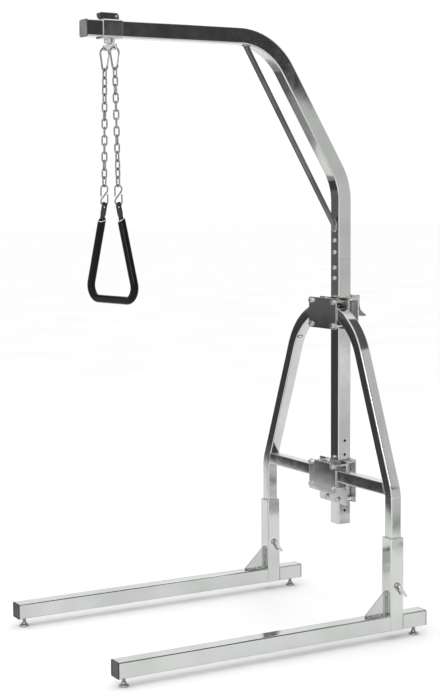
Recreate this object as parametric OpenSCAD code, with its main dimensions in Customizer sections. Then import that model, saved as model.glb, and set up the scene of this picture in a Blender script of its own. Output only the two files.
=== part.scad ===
// Free-standing trapeze lift: floor stand, clamped mast, overhead boom and hanging handle.
// Millimetres. +X is the right leg, -Y the front, where the boom reaches over, and +Z is up.
// The origin is on the floor, in the middle of the stand's length.

/* [Base] */
// Distance between the centres of the two legs
leg_spacing = 654; // [560:1:760]
// Side of the square leg and socket tube
leg_tube = 44.5; // [40:0.5:50]
// Wall of the leg and socket tube
leg_wall = 2; // [1.5:0.1:3]
// From the centre of the sockets to the front end of the leg tube
leg_front = 870; // [700:1:950]
// From the centre of the sockets to the rear end of the leg tube
leg_rear = 101; // [80:1:160]
// Height of the leg tube's underside over the floor
leg_height = 26; // [24:1:30]
// Height of the sockets' top over the floor
socket_top = 288; // [260:1:320]
// Length of the gusset along the leg
gusset_l = 72; // [50:1:90]
// Height of the gusset over the leg
gusset_h = 68; // [50:1:90]

/* [A-frame] */
// Side of the square frame tube
frame_tube = 34; // [30:0.5:36]
// Height of the frame tube's lower ends over the floor
frame_foot = 110; // [100:1:120]
// Height where the upright part of each frame leg would meet its slope
frame_knee = 415; // [400:1:430]
// Centreline radius of the frame's lower bends
knee_r = 100; // [80:1:120]
// Centreline radius of the arch
arch_r = 190; // [170:1:200]
// Height of the arch's centreline at its top
arch_top = 916; // [910:1:920]
// Height of the crossbar's centreline
crossbar_z = 424.5; // [422:0.5:426]

/* [Mast and boom] */
// Width of the mast and boom tube across the stand
mast_w = 44.5; // [40:0.5:46]
// Depth of the mast tube, and height of the boom
mast_d = 44.5; // [40:0.5:46]
// Height of the mast's open lower end
mast_foot = 267; // [250:1:270]
// Height of the joint between the lower and the upper tube
splice_z = 1060; // [1050:1:1070]
// Height of the boom's centreline
boom_z = 1693.5; // [1650:0.5:1750]
// Distance the boom reaches in front of the sockets' centre
boom_reach = 780; // [700:1:850]
// Lean of the sloping part from upright, degrees
boom_lean = 31.4; // [28:0.1:34]
// Height where the mast's centreline would meet the slope's
mast_knee = 1281.5; // [1260:0.5:1300]
// Centreline radius of the mast's and the boom's bends
bend_r = 185; // [150:1:200]
// Diameter of the diagonal strut
strut_dia = 16; // [12:0.5:19]
// Distance between the cross holes in the mast
hole_pitch = 42.2; // [38:0.1:44]

/* [Trapeze] */
// Distance of the hanging point in front of the sockets' centre
trapeze_reach = 706; // [560:1:720]
// Turn of the hanging trapeze on its swivel, degrees
trapeze_turn = 10; // [0:1:20]
// Distance between the two hanging holes in the hanger plate
hanger_span = 44; // [40:1:50]
// Distance between the two holes in the handle
handle_span = 66.5; // [60:0.5:72]
// Outer width of the handle
handle_w = 222; // [200:1:240]
// Outer diameter of the handle's grip
grip_dia = 22; // [18:0.5:26]
// Number of links in each chain, an even number
links = 14; // [12:2:16]

/* [Hidden] */
$fn = 48;

eps = 0.01;
body_gap = 0.3;           // gap between solids that slide or swing past each other
hang_gap = 0.6;           // gap over a curved wire in a plate's hole
corner_r = 4;             // outer corner radius of every square tube
bend_swell = 0.05;        // a bent piece is this much larger all round than the straight one it joins
lap = 0.5;                // how far a straight piece reaches into the bend it joins

// The stand's length decides how far the sockets' plane is behind the origin
cap_flange = 3;
lever_rear = 129;
column_y = (leg_front + cap_flange - lever_rear) / 2;
leg_x = leg_spacing / 2;

// Clamp plates and the mast's place behind the A-frame
front_plate_t = 4;
middle_plate_t = 6;
rear_plate_t = 4;
plate_corner_r = 6;
frame_front_y = -frame_tube / 2;
mast_front_y = frame_tube / 2 + middle_plate_t + body_gap;
mast_y = mast_front_y + mast_d / 2;
mast_rear_y = mast_front_y + mast_d;
rear_plate_y = mast_rear_y + body_gap;
mast_wall = 2;

// Fasteners: M8 hex bolts
bolt_r = 4;
bolt_hole_r = 4.25;
hex_af = 13;
head_h = 5.5;
nut_h = 6.5;
washer_r = 8.5;
washer_t = 1.6;
spacer_r = 6.5;
frame_bolt_x = 57;
mast_bolt_x = mast_w / 2 + body_gap + spacer_r;

// Upper clamp: plate and bolt heights
upper_lo = 857;
upper_hi = 948;
upper_frame_z = [868, 938];
upper_mast_z = [864, 940];
upper_plate_w = 142;
upper_rear_w = 111;
upper_rear_hi = 955;

// Lower clamp
lower_front_lo = 368;
lower_front_hi = 459;
lower_lo = 333;
lower_hi = 464;
lower_frame_z = [385, 452];
lower_mast_z = [346, 455];
lower_plate_w = 140;
lower_rear_w = 91;

// Clamp lever behind the upper clamp
pin_y = 89;
pin_z = 944;
pin_r = 3;
lever_w = 24;
ear_t = 3;
ear_x = lever_w / 2 + body_gap;
pad_reach = 9;
pad_w = 20;
pad_h = 16;
window_w = pad_w + 1;
window_h = pad_h + 1;

// Levelling glides
glide_r = 14;
stem_r = 5;
glide_inset_front = 23;
glide_inset_rear = 27;
glide_nut_wall = 3;

// Lock screws in the sockets
screw_z = 154;
screw_r = 4;
boss_t = 5;
boss_r = 9;
screw_reach = leg_tube / 2 + 13;
screw_bend_r = 7;
screw_arm = 27;
screw_arm_tilt = 54;

// Boom and bends
boom_knee_y = mast_y - (boom_z - mast_knee) * tan(boom_lean);
knee_back = bend_r * tan(boom_lean / 2);
elbow_back = bend_r * tan((90 - boom_lean) / 2);
slope_len = (boom_z - mast_knee) / cos(boom_lean) - knee_back - elbow_back;
strut_top_y = -281;
strut_foot_z = 1157;

// Trapeze carrier
collar_wall = 3;
collar_len = 58;
collar_w = mast_w + 2 * (body_gap + collar_wall);
collar_h = mast_d + 2 * (body_gap + collar_wall);
collar_top = boom_z + collar_h / 2;
collar_low = boom_z - collar_h / 2;
top_lever_w = 22;
top_lever_pin_y = 17;
top_lever_pin_z = 8;
housing_r = 15;
housing_h = 12;
housing_lip = 3;
stem_hole_r = 6.05;
hanger_hole_z = 1646.4;
hanger_hole_r = 4.5;
hanger_t = 4;

// Snap hooks, hung from the hanger plate
hook_wire = 2.75;
hook_top_r = 14.25;
hook_foot_r = 7.5;
hook_drop = 38;
gate_wire = 2.2;
hook_z = hanger_hole_z - hanger_hole_r + hook_wire + hang_gap;
hook_arc_z = hook_z - hook_top_r;
hook_foot_z = hook_arc_z - hook_drop - hook_foot_r;

// Chain and S-hooks
link_wire = 2.25;
link_r = 6.4;
link_len = 27.1;
link_step = link_len - 2 * link_wire - body_gap;
chain_top_z = hook_foot_z + hook_wire + link_wire + body_gap;
chain_foot_z = chain_top_z - (links - 1) * link_step - link_len;
s_wire = 2.2;
s_r = 11.3;
s_half = 16.8;
s_prong = 18;
s_top_z = chain_foot_z + link_wire + s_wire + body_gap;
s_mid_z = s_top_z - s_r - s_half;
s_foot_z = s_mid_z - s_half - s_r;
handle_hole_r = 5;
handle_hole_z = s_foot_z - handle_hole_r + s_wire + hang_gap;

// The two strands lean apart on the way down
strand_lean = atan((handle_span - hanger_span) / 2 / (hanger_hole_z - handle_hole_z));

// Handle
handle_corner_r = 36;
handle_tube_r = 6.5;
handle_bar_z = 967.7;
handle_drop = handle_hole_z - handle_bar_z;
handle_corner_x = handle_w / 2 - grip_dia / 2 - handle_corner_r;
tab_w = 19;
tab_top = 12;
tab_corner = 3;
tab_t = 5;
tab_len = 23;
grip_start = 34;

// Angle from upright of a line that leaves (x, h) below a circle's centre and touches its outer side
function touch_lean(x, h, r) = acos(r / sqrt(x * x + h * h)) - atan2(h, x);

frame_lean = touch_lean(leg_x, arch_top - arch_r - frame_knee, arch_r);
frame_knee_back = knee_r * tan(frame_lean / 2);
arch_foot_x = arch_r * cos(frame_lean);
arch_foot_z = arch_top - arch_r + arch_r * sin(frame_lean);

// ---------------------------------------------------------------- shared shapes

module column() translate([0, column_y, 0]) children();

module rounded_rect(w, d, r) {
    square([w, d - 2 * r], center = true);
    square([w - 2 * r, d], center = true);
    for (sx = [-1, 1], sy = [-1, 1])
        translate([sx * (w / 2 - r), sy * (d / 2 - r)]) circle(r);
}

// Section of a square tube; `swell` adds to it all round, outside and inside
module tube_section(w, d, wall, swell = 0) {
    difference() {
        rounded_rect(w + 2 * swell, d + 2 * swell, corner_r);
        rounded_rect(w - 2 * wall - 2 * swell, d - 2 * wall - 2 * swell, corner_r - wall);
    }
}

// Square tube along +Z from z0 to z1
module upright(w, d, wall, z0, z1, swell = 0) {
    translate([0, 0, z0]) linear_extrude(z1 - z0) tube_section(w, d, wall, swell);
}

// Tube along Y from y0 to y1, its section given as width across X and height along Z
module lengthways(w, h, wall, y0, y1) {
    translate([0, y1, 0]) rotate([90, 0, 0]) linear_extrude(y1 - y0) tube_section(w, h, wall);
}

// Flat plate in the XZ plane with rounded corners, from y0 towards +Y
module plate(w, z0, z1, y0, t) {
    translate([0, y0 + t, (z0 + z1) / 2]) rotate([90, 0, 0])
        linear_extrude(t) rounded_rect(w, z1 - z0, plate_corner_r);
}

// Cylinder along +Y
module y_rod(r, y0, y1) translate([0, y0, 0]) rotate([-90, 0, 0]) cylinder(r = r, h = y1 - y0);

// Cylinder along +X
module x_rod(r, x0, x1) translate([x0, 0, 0]) rotate([0, 90, 0]) cylinder(r = r, h = x1 - x0);

// Children at a pair of +-x and each height in zs
module at_bolts(x, zs) {
    for (sx = [-1, 1], z = zs) translate([sx * x, 0, z]) children();
}

// Hexagon along +Y, flats apart by af
module y_hex(af, y0, y1) {
    translate([0, y0, 0]) rotate([-90, 0, 0]) cylinder(r = af / 2 / cos(30), h = y1 - y0, $fn = 6);
}

module bolt(y_head, y_end) {
    y_rod(washer_r, y_head - washer_t, y_head);
    y_hex(hex_af, y_head - washer_t - head_h, y_head - washer_t);
    y_rod(bolt_r, y_head - eps, y_end);
}

module nut(y_face) {
    difference() {
        y_hex(hex_af, y_face, y_face + nut_h);
        y_rod(bolt_r, y_face - 1, y_face + nut_h + 1);
    }
}

// ---------------------------------------------------------------- base

module leg_front_tube(side) {
    color([0.78, 0.79, 0.8]) column() difference() {
        translate([side * leg_x, 0, leg_height + leg_tube / 2])
            lengthways(leg_tube, leg_tube, leg_wall, -leg_front, -leg_tube / 2);
        translate([side * leg_x, glide_inset_front - leg_front, leg_height - 1])
            cylinder(r = stem_r + glide_nut_wall, h = leg_wall + 2);
    }
}

module leg_rear_tube(side) {
    color([0.78, 0.79, 0.8]) column() difference() {
        translate([side * leg_x, 0, leg_height + leg_tube / 2])
            lengthways(leg_tube, leg_tube, leg_wall, leg_tube / 2, leg_rear);
        translate([side * leg_x, leg_rear - glide_inset_rear, leg_height - 1])
            cylinder(r = stem_r + glide_nut_wall, h = leg_wall + 2);
    }
}

module socket(side) {
    color([0.78, 0.79, 0.8]) column() translate([side * leg_x, 0, 0]) difference() {
        upright(leg_tube, leg_tube, leg_wall, leg_height, socket_top);
        translate([0, 0, screw_z]) x_rod(screw_r + 0.5, 0, leg_tube);
    }
}

module gusset(side) {
    thickness = 4;
    tip = 6;
    foot_z = leg_height + leg_tube;
    color([0.75, 0.76, 0.77]) column() translate([side * leg_x - thickness / 2, 0, 0])
        rotate([90, 0, 90]) linear_extrude(thickness) polygon([
            [-leg_tube / 2, foot_z],
            [-leg_tube / 2, foot_z + gusset_h],
            [-leg_tube / 2 - tip, foot_z + gusset_h],
            [-leg_tube / 2 - gusset_l, foot_z + tip],
            [-leg_tube / 2 - gusset_l, foot_z]]);
}

// Plastic end cap on the leg's end at y_end, pushed in along `into` (+1 or -1 in Y)
module leg_cap(side, y_end, into) {
    plug = leg_tube - 2 * leg_wall - 0.2;
    plug_len = 12;
    plug_wall = 2.5;
    translate([side * leg_x, y_end, leg_height + leg_tube / 2]) rotate([into * 90, 0, 0]) {
        linear_extrude(cap_flange) rounded_rect(leg_tube, leg_tube, corner_r);
        translate([0, 0, -plug_len]) linear_extrude(plug_len + eps) difference() {
            rounded_rect(plug, plug, 2);
            rounded_rect(plug - 2 * plug_wall, plug - 2 * plug_wall, 1);
        }
    }
}

module leg_front_caps() {
    color([0.06, 0.06, 0.06]) column() for (side = [-1, 1]) leg_cap(side, -leg_front, 1);
}

module leg_rear_caps() {
    color([0.06, 0.06, 0.06]) column() for (side = [-1, 1]) leg_cap(side, leg_rear, -1);
}

module at_glides() {
    for (side = [-1, 1], y = [glide_inset_front - leg_front, leg_rear - glide_inset_rear])
        translate([side * leg_x, y, 0]) children();
}

module glide_nuts() {
    nut_len = 14;
    color([0.6, 0.6, 0.6]) column() at_glides() difference() {
        translate([0, 0, leg_height]) cylinder(r = stem_r + glide_nut_wall - 0.05, h = nut_len);
        translate([0, 0, leg_height - 1]) cylinder(r = stem_r + 0.05, h = nut_len + 2);
    }
}

// Bell foot with a threaded stem, turned in one piece
module glide(side, y) {
    foot_h = 12;
    stem_top = leg_height + 20;
    color([0.7, 0.7, 0.7]) column() translate([side * leg_x, y, 0]) rotate_extrude() polygon([
        [0, 0], [glide_r, 0], [glide_r, 3], [glide_r - 1.5, 5.5], [8, 8], [7, foot_h],
        [stem_r, foot_h + 1], [stem_r, stem_top], [0, stem_top]]);
}

module screw_bosses() {
    color([0.6, 0.6, 0.6]) column() for (side = [-1, 1])
        translate([side * leg_x, 0, screw_z]) difference() {
            x_rod(boss_r, leg_tube / 2, leg_tube / 2 + boss_t);
            x_rod(screw_r + 0.05, leg_tube / 2 - 1, leg_tube / 2 + boss_t + 1);
        }
}

// L-shaped screw: its point stops just short of the frame tube inside the socket
module lock_screw(side) {
    color([0.7, 0.7, 0.7]) column() translate([side * leg_x, 0, screw_z]) {
        x_rod(screw_r, frame_tube / 2 + body_gap, screw_reach - screw_bend_r);
        rotate([-90 - screw_arm_tilt, 0, 0]) {
            translate([screw_reach - screw_bend_r, 0, screw_bend_r]) rotate([90, 0, 0])
                rotate_extrude(angle = 90, start = -90) translate([screw_bend_r, 0]) circle(screw_r);
            translate([screw_reach, 0, screw_bend_r]) cylinder(r = screw_r, h = screw_arm);
            translate([screw_reach, 0, screw_bend_r + screw_arm]) sphere(screw_r);
        }
    }
}

// Plastic bush with a lip in each socket's mouth
module socket_liners() {
    lip = 2;
    depth = 25;
    inside = frame_tube + 0.2;
    outside = leg_tube - 2 * leg_wall - 0.2;
    color([0.75, 0.75, 0.72]) column() for (side = [-1, 1])
        translate([side * leg_x, 0, socket_top]) difference() {
            union() {
                translate([0, 0, -depth]) linear_extrude(depth) rounded_rect(outside, outside, 2);
                linear_extrude(lip) rounded_rect(leg_tube - 1, leg_tube - 1, corner_r - 0.5);
            }
            translate([0, 0, -depth - 1]) linear_extrude(depth + lip + 2)
                rounded_rect(inside, inside, corner_r);
        }
}

// ---------------------------------------------------------------- A-frame

// The frame tube's section, or its filled outline
module frame_section(swell, hollow) {
    wall = 2;
    if (hollow) tube_section(frame_tube, frame_tube, wall, swell);
    else rounded_rect(frame_tube + 2 * swell, frame_tube + 2 * swell, corner_r);
}

// One leg of the frame, drawn for +X: upright, lower bend and slope
module frame_leg(hollow = true, swell = 0) {
    upright_top = frame_knee - frame_knee_back + lap;
    translate([leg_x, 0, frame_foot]) linear_extrude(upright_top - frame_foot) frame_section(swell, hollow);
    translate([leg_x - knee_r, 0, frame_knee - frame_knee_back]) rotate([90, 0, 0])
        rotate_extrude(angle = frame_lean) translate([knee_r, 0])
            frame_section(swell + bend_swell, hollow);
    slope_foot = frame_knee_back - lap;
    translate([leg_x, 0, frame_knee]) rotate([0, -frame_lean, 0]) translate([0, 0, slope_foot])
        linear_extrude((arch_foot_z - frame_knee) / cos(frame_lean) - slope_foot)
            frame_section(swell + 2 * bend_swell, hollow);
}

// The arch reaches a little way into both slopes
module frame_arch() {
    wall = 2;
    reach_in = lap / arch_r * 180 / PI;
    translate([0, 0, arch_top - arch_r]) rotate([90, 0, 0])
        rotate_extrude(angle = 180 - 2 * frame_lean + 2 * reach_in, start = frame_lean - reach_in)
            translate([arch_r, 0]) tube_section(frame_tube, frame_tube, wall);
}

module a_frame() {
    color([0.3, 0.31, 0.31]) column() {
        frame_leg();
        mirror([1, 0, 0]) frame_leg();
        frame_arch();
    }
}

// Its ends are cut to the shape of the frame's legs, which it meets at the bends
module crossbar() {
    wall = 2;
    fit = 0.1;
    length = 2 * (leg_x - 4);
    color([0.3, 0.31, 0.31]) column() difference() {
        translate([-length / 2, 0, crossbar_z]) rotate([90, 0, 90])
            linear_extrude(length) tube_section(frame_tube, frame_tube, wall);
        frame_leg(hollow = false, swell = fit);
        mirror([1, 0, 0]) frame_leg(hollow = false, swell = fit);
    }
}

// ---------------------------------------------------------------- clamps

module clamp_plate(w, z0, z1, y0, t, frame_zs, mast_zs) {
    difference() {
        plate(w, z0, z1, y0, t);
        at_bolts(frame_bolt_x, frame_zs) y_rod(bolt_hole_r, y0 - 1, y0 + t + 1);
        at_bolts(mast_bolt_x, mast_zs) y_rod(bolt_hole_r, y0 - 1, y0 + t + 1);
    }
}

module upper_front_plate() {
    color([0.3, 0.3, 0.3]) column()
        clamp_plate(upper_plate_w, upper_lo, upper_hi, frame_front_y - front_plate_t, front_plate_t,
                    upper_frame_z, []);
}

module upper_middle_plate() {
    color([0.3, 0.3, 0.3]) column()
        clamp_plate(upper_plate_w, upper_lo, upper_hi, frame_tube / 2, middle_plate_t,
                    upper_frame_z, upper_mast_z);
}

module upper_rear_plate() {
    color([0.7, 0.7, 0.7]) column() difference() {
        clamp_plate(upper_rear_w, upper_lo, upper_rear_hi, rear_plate_y, rear_plate_t, [], upper_mast_z);
        translate([0, rear_plate_y + rear_plate_t / 2, pin_z])
            cube([window_w, 3 * rear_plate_t, window_h], center = true);
    }
}

module lower_front_plate() {
    color([0.5, 0.5, 0.5]) column()
        clamp_plate(lower_plate_w, lower_front_lo, lower_front_hi, frame_front_y - front_plate_t,
                    front_plate_t, lower_frame_z, []);
}

module lower_middle_plate() {
    color([0.5, 0.5, 0.5]) column()
        clamp_plate(lower_plate_w, lower_lo, lower_hi, frame_tube / 2, middle_plate_t,
                    lower_frame_z, lower_mast_z);
}

module lower_rear_plate() {
    color([0.7, 0.7, 0.7]) column()
        clamp_plate(lower_rear_w, lower_lo, lower_hi, rear_plate_y, rear_plate_t, [], lower_mast_z);
}

// Long bolts that draw the front and middle plates together round the frame tube
module frame_bolts() {
    head_y = frame_front_y - front_plate_t;
    end_y = frame_tube / 2 + middle_plate_t + nut_h + 3;
    color([0.75, 0.75, 0.75]) column() {
        at_bolts(frame_bolt_x, upper_frame_z) bolt(head_y, end_y);
        at_bolts(frame_bolt_x, lower_frame_z) bolt(head_y, end_y);
    }
}

module frame_nuts() {
    face_y = frame_tube / 2 + middle_plate_t;
    color([0.75, 0.75, 0.75]) column() {
        at_bolts(frame_bolt_x, upper_frame_z) nut(face_y);
        at_bolts(frame_bolt_x, lower_frame_z) nut(face_y);
    }
}

// Bolts beside the mast, from the middle plate to the rear plate
module mast_bolts() {
    end_y = rear_plate_y + rear_plate_t + nut_h + 3;
    color([0.75, 0.75, 0.75]) column()
        at_bolts(mast_bolt_x, concat(upper_mast_z, lower_mast_z)) {
            y_hex(hex_af, frame_tube / 2 - head_h, frame_tube / 2);
            y_rod(bolt_r, frame_tube / 2 - eps, end_y);
        }
}

module mast_nuts() {
    color([0.75, 0.75, 0.75]) column()
        at_bolts(mast_bolt_x, concat(upper_mast_z, lower_mast_z)) nut(rear_plate_y + rear_plate_t);
}

// Spacers keep the plates one mast apart and guide the mast's sides
module mast_spacers() {
    y0 = frame_tube / 2 + middle_plate_t;
    color([0.65, 0.65, 0.65]) column()
        at_bolts(mast_bolt_x, concat(upper_mast_z, lower_mast_z)) difference() {
            y_rod(spacer_r, y0, rear_plate_y);
            y_rod(bolt_hole_r, y0 - 1, rear_plate_y + 1);
        }
}

module lever_bracket() {
    ear_lo = 905;
    ear_hi = 953;
    base_t = 2.5;
    y0 = rear_plate_y + rear_plate_t;
    ear_end = pin_y + 9;
    color([0.72, 0.73, 0.73]) column() difference() {
        union() {
            for (side = [-1, 1]) translate([side * (ear_x + ear_t / 2), 0, 0])
                translate([-ear_t / 2, y0, ear_lo]) cube([ear_t, ear_end - y0, ear_hi - ear_lo]);
            translate([-ear_x - ear_t, y0, ear_lo]) cube([2 * (ear_x + ear_t), base_t, ear_hi - ear_lo]);
        }
        translate([0, y0, pin_z]) cube([window_w, 4 * base_t, window_h], center = true);
        translate([0, pin_y, pin_z]) x_rod(pin_r, -ear_x - ear_t - 1, ear_x + ear_t + 1);
    }
}

module lever_pin() {
    head_t = 2;
    color([0.7, 0.7, 0.7]) column() translate([0, pin_y, pin_z]) {
        x_rod(pin_r, -ear_x - ear_t - head_t, ear_x + ear_t);
        x_rod(pin_r + 2, ear_x + ear_t, ear_x + ear_t + head_t);
    }
}

// Plastic lever with a cam that presses the brake pad against the mast
module clamp_lever() {
    hub_r = 7;
    lobe = pad_reach - hub_r;
    color([0.5, 0.5, 0.5]) column() difference() {
        union() {
            translate([0, pin_y, pin_z]) x_rod(hub_r, -lever_w / 2, lever_w / 2);
            translate([0, pin_y - lobe, pin_z]) x_rod(hub_r, -lever_w / 2 + 2, lever_w / 2 - 2);
            translate([-lever_w / 2, pin_y, pin_z]) rotate([90, 0, 90]) linear_extrude(lever_w)
                polygon([[0, hub_r], [8, 8.5], [15, 8.5], [17, 6.5], [16.4, -8], [17, -24], [21, -36],
                         [30, -45], [40, -51], [39.5, -56], [25, -56], [13, -42], [6, -26], [0, -hub_r]]);
        }
        translate([0, pin_y, pin_z]) x_rod(pin_r + 0.05, -lever_w, lever_w);
    }
}

module brake_pad() {
    y0 = mast_rear_y + body_gap;
    y1 = pin_y - pad_reach - body_gap;
    color([0.1, 0.1, 0.1]) column() translate([-pad_w / 2, y0, pin_z - pad_h / 2])
        cube([pad_w, y1 - y0, pad_h]);
}

// ---------------------------------------------------------------- mast and boom

module mast_tube() {
    first_hole_z = 308;
    holes = 6;
    hole_r = 4.25;
    color([0.6, 0.61, 0.61]) column() difference() {
        translate([0, mast_y, 0]) upright(mast_w, mast_d, mast_wall, mast_foot, splice_z);
        for (i = [0 : holes - 1]) translate([0, mast_y, first_hole_z + i * hole_pitch])
            x_rod(hole_r, -mast_w, mast_w);
        for (z = splice_screw_z) translate([0, 0, z]) y_rod(splice_screw_r, mast_front_y - 1, mast_y);
        translate([0, 0, stop_z]) y_rod(stop_r, mast_front_y - 1, mast_y);
    }
}

splice_screw_z = [1004, 1035, 1081, 1116];
splice_screw_r = 3;
stop_z = lower_hi + 5 + body_gap;
stop_r = 3;

// Upper part of the mast, knee, slope, elbow and boom, bent from one tube
module boom_tube() {
    color([0.35, 0.36, 0.36]) column() difference() {
        union() {
            translate([0, mast_y, 0])
                upright(mast_w, mast_d, mast_wall, splice_z, mast_knee - knee_back + lap);
            translate([0, mast_y - bend_r, mast_knee - knee_back]) rotate([90, 0, 90])
                rotate_extrude(angle = boom_lean) translate([bend_r, 0])
                    tube_section(mast_d, mast_w, mast_wall, bend_swell);
            translate([0, mast_y, mast_knee]) rotate([boom_lean, 0, 0])
                upright(mast_w, mast_d, mast_wall, knee_back - lap, knee_back + slope_len + lap);
            translate([0, boom_knee_y - elbow_back, boom_z - bend_r]) rotate([90, 0, 90])
                rotate_extrude(angle = 90 - boom_lean, start = boom_lean) translate([bend_r, 0])
                    tube_section(mast_d, mast_w, mast_wall, bend_swell);
            translate([0, 0, boom_z])
                lengthways(mast_w, mast_d, mast_wall, -boom_reach, boom_knee_y - elbow_back + lap);
        }
        for (z = splice_screw_z) translate([0, 0, z]) y_rod(splice_screw_r, mast_front_y - 1, mast_y);
    }
}

module splice_sleeve() {
    half = 75;
    slack = 0.2;
    w = mast_w - 2 * mast_wall - slack;
    d = mast_d - 2 * mast_wall - slack;
    color([0.6, 0.6, 0.6]) column() difference() {
        translate([0, mast_y, splice_z - half]) linear_extrude(2 * half) difference() {
            rounded_rect(w, d, 2);
            rounded_rect(w - 5, d - 5, 1);
        }
        for (z = splice_screw_z) translate([0, 0, z]) y_rod(splice_screw_r, mast_front_y - 1, mast_y);
    }
}

// Domed screw with a cross recess, its head on the mast's front face
module domed_screw(head_r, head_t, shank_r, shank_l) {
    recess_w = 1.4;
    recess_d = 2;
    translate([0, mast_front_y, 0]) difference() {
        rotate([90, 0, 0]) rotate_extrude() polygon([
            [0, -shank_l], [shank_r, -shank_l], [shank_r, 0], [head_r, 0], [head_r, head_t * 0.35],
            [head_r * 0.8, head_t * 0.8], [head_r * 0.45, head_t], [0, head_t]]);
        for (turn = [45, 135]) translate([0, -head_t, 0]) rotate([0, turn, 0])
            cube([head_r, recess_d, recess_w], center = true);
    }
}

module splice_screws() {
    color([0.75, 0.75, 0.75]) column()
        for (z = splice_screw_z) translate([0, 0, z]) domed_screw(6.5, 4.5, splice_screw_r, 8);
}

module stop_screw() {
    color([0.75, 0.75, 0.75]) column() translate([0, 0, stop_z]) domed_screw(5, 4.5, stop_r, 8);
}

// Round strut from the elbow's underside to the mast's front face, its ends cut to meet them
module strut() {
    fit = 0.1;
    underside = boom_z - mast_d / 2;
    run = mast_front_y - strut_top_y;
    rise = underside - strut_foot_z;
    length = sqrt(run * run + rise * rise);
    tilt = atan2(run, rise);
    margin = 40;
    color([0.35, 0.36, 0.36]) column() difference() {
        intersection() {
            translate([0, mast_front_y, strut_foot_z]) rotate([tilt, 0, 0]) translate([0, 0, -margin])
                difference() {
                    cylinder(d = strut_dia, h = length + 2 * margin);
                    translate([0, 0, -1]) cylinder(d = strut_dia - 3, h = length + 2 * margin + 2);
                }
            translate([-mast_w, strut_top_y - 2 * margin, strut_foot_z - 2 * margin])
                cube([2 * mast_w, run + 2 * margin, rise + 2 * margin]);
        }
        translate([0, boom_knee_y - elbow_back, boom_z - bend_r]) rotate([90, 0, 90])
            rotate_extrude(angle = 90 - boom_lean, start = boom_lean) translate([bend_r, 0])
                rounded_rect(mast_d + 2 * fit, mast_w + 2 * fit, corner_r);
    }
}

module boom_cap() {
    plug_w = mast_w - 2 * mast_wall - 0.2;
    plug_d = mast_d - 2 * mast_wall - 0.2;
    color([0.75, 0.75, 0.74]) column() translate([0, -boom_reach, boom_z]) rotate([90, 0, 0]) {
        linear_extrude(1.5) rounded_rect(mast_w + 2, mast_d + 2, corner_r + 1);
        translate([0, 0, 1.5]) linear_extrude(3) rounded_rect(mast_w, mast_d, corner_r);
        translate([0, 0, -16]) linear_extrude(16 + eps) difference() {
            rounded_rect(plug_w, plug_d, 2);
            rounded_rect(plug_w - 5, plug_d - 5, 1);
        }
    }
}

// ---------------------------------------------------------------- trapeze carrier

// Children placed at the hanging point, at the boom's height
module at_carrier() column() translate([0, -trapeze_reach, boom_z]) children();

module collar() {
    ear_r = 6;
    ear_t = 3;
    ear_in = top_lever_w / 2 + body_gap;
    color([0.3, 0.31, 0.31]) at_carrier() difference() {
        union() {
            translate([0, collar_len / 2, 0]) rotate([90, 0, 0]) linear_extrude(collar_len) difference() {
                rounded_rect(collar_w, collar_h, corner_r + collar_wall);
                rounded_rect(mast_w + 2 * body_gap, mast_d + 2 * body_gap, corner_r);
            }
            for (side = [-1, 1]) translate([side * (ear_in + ear_t / 2), top_lever_pin_y, 0]) {
                translate([0, 0, collar_h / 2 + top_lever_pin_z]) x_rod(ear_r, -ear_t / 2, ear_t / 2);
                translate([-ear_t / 2, -ear_r, collar_h / 2 - 1])
                    cube([ear_t, 2 * ear_r, top_lever_pin_z + 1]);
            }
        }
        translate([0, 0, collar_h / 2 - collar_wall - 1]) cylinder(r = shoe_r + 0.05, h = collar_wall + 2);
        translate([0, top_lever_pin_y, collar_h / 2 + top_lever_pin_z]) x_rod(2, -collar_w, collar_w);
    }
}

shoe_r = 6;

// Lock lever lying on the collar, its front end standing out over the boom for the fingers
module collar_lever() {
    front = -33;
    rear = 24;
    z0 = collar_h / 2 + body_gap;
    color([0.15, 0.15, 0.15]) at_carrier() difference() {
        translate([-top_lever_w / 2, 0, 0]) rotate([90, 0, 90]) linear_extrude(top_lever_w)
            polygon([[front + 3, z0 + 3], [front + 10, z0], [rear - 6, z0], [rear, z0 + 5],
                     [rear - 2, z0 + 14], [rear - 5, z0 + 17], [front + 5, z0 + 17.5],
                     [front + 1, z0 + 15.5], [front, z0 + 12]]);
        translate([0, top_lever_pin_y, collar_h / 2 + top_lever_pin_z]) x_rod(2.05, -collar_w, collar_w);
    }
}

module collar_lever_pin() {
    reach = top_lever_w / 2 + body_gap + 3;
    color([0.7, 0.7, 0.7]) at_carrier()
        translate([0, top_lever_pin_y, collar_h / 2 + top_lever_pin_z]) {
            x_rod(2, -reach - 1, reach);
            x_rod(3.5, reach, reach + 1.5);
        }
}

// Shoe that the lever presses on the boom's top
module collar_shoe() {
    color([0.1, 0.1, 0.1]) at_carrier() translate([0, 0, mast_d / 2 + body_gap])
        cylinder(r = shoe_r, h = collar_wall);
}

// Cup under the collar that holds the head of the hanger's stem
module swivel_housing() {
    color([0.35, 0.35, 0.35]) at_carrier() translate([0, 0, -collar_h / 2 - housing_h]) difference() {
        cylinder(r = housing_r, h = housing_h);
        translate([0, 0, housing_lip]) cylinder(r = housing_r - 4, h = housing_h - 2 * housing_lip);
        translate([0, 0, -1]) cylinder(r = stem_hole_r, h = housing_lip + 2);
    }
}

// ---------------------------------------------------------------- trapeze

// Children in the hanging trapeze's own frame: Z at the floor, turned on the swivel
module trapeze() column() translate([0, -trapeze_reach, 0]) rotate([0, 0, trapeze_turn]) children();

// Children on one strand, their height axis leaning outwards from the hanging hole
module strand(side) {
    trapeze() translate([side * hanger_span / 2, 0, hanger_hole_z]) rotate([0, side * -strand_lean, 0])
        translate([0, 0, -hanger_hole_z]) children();
}

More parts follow.
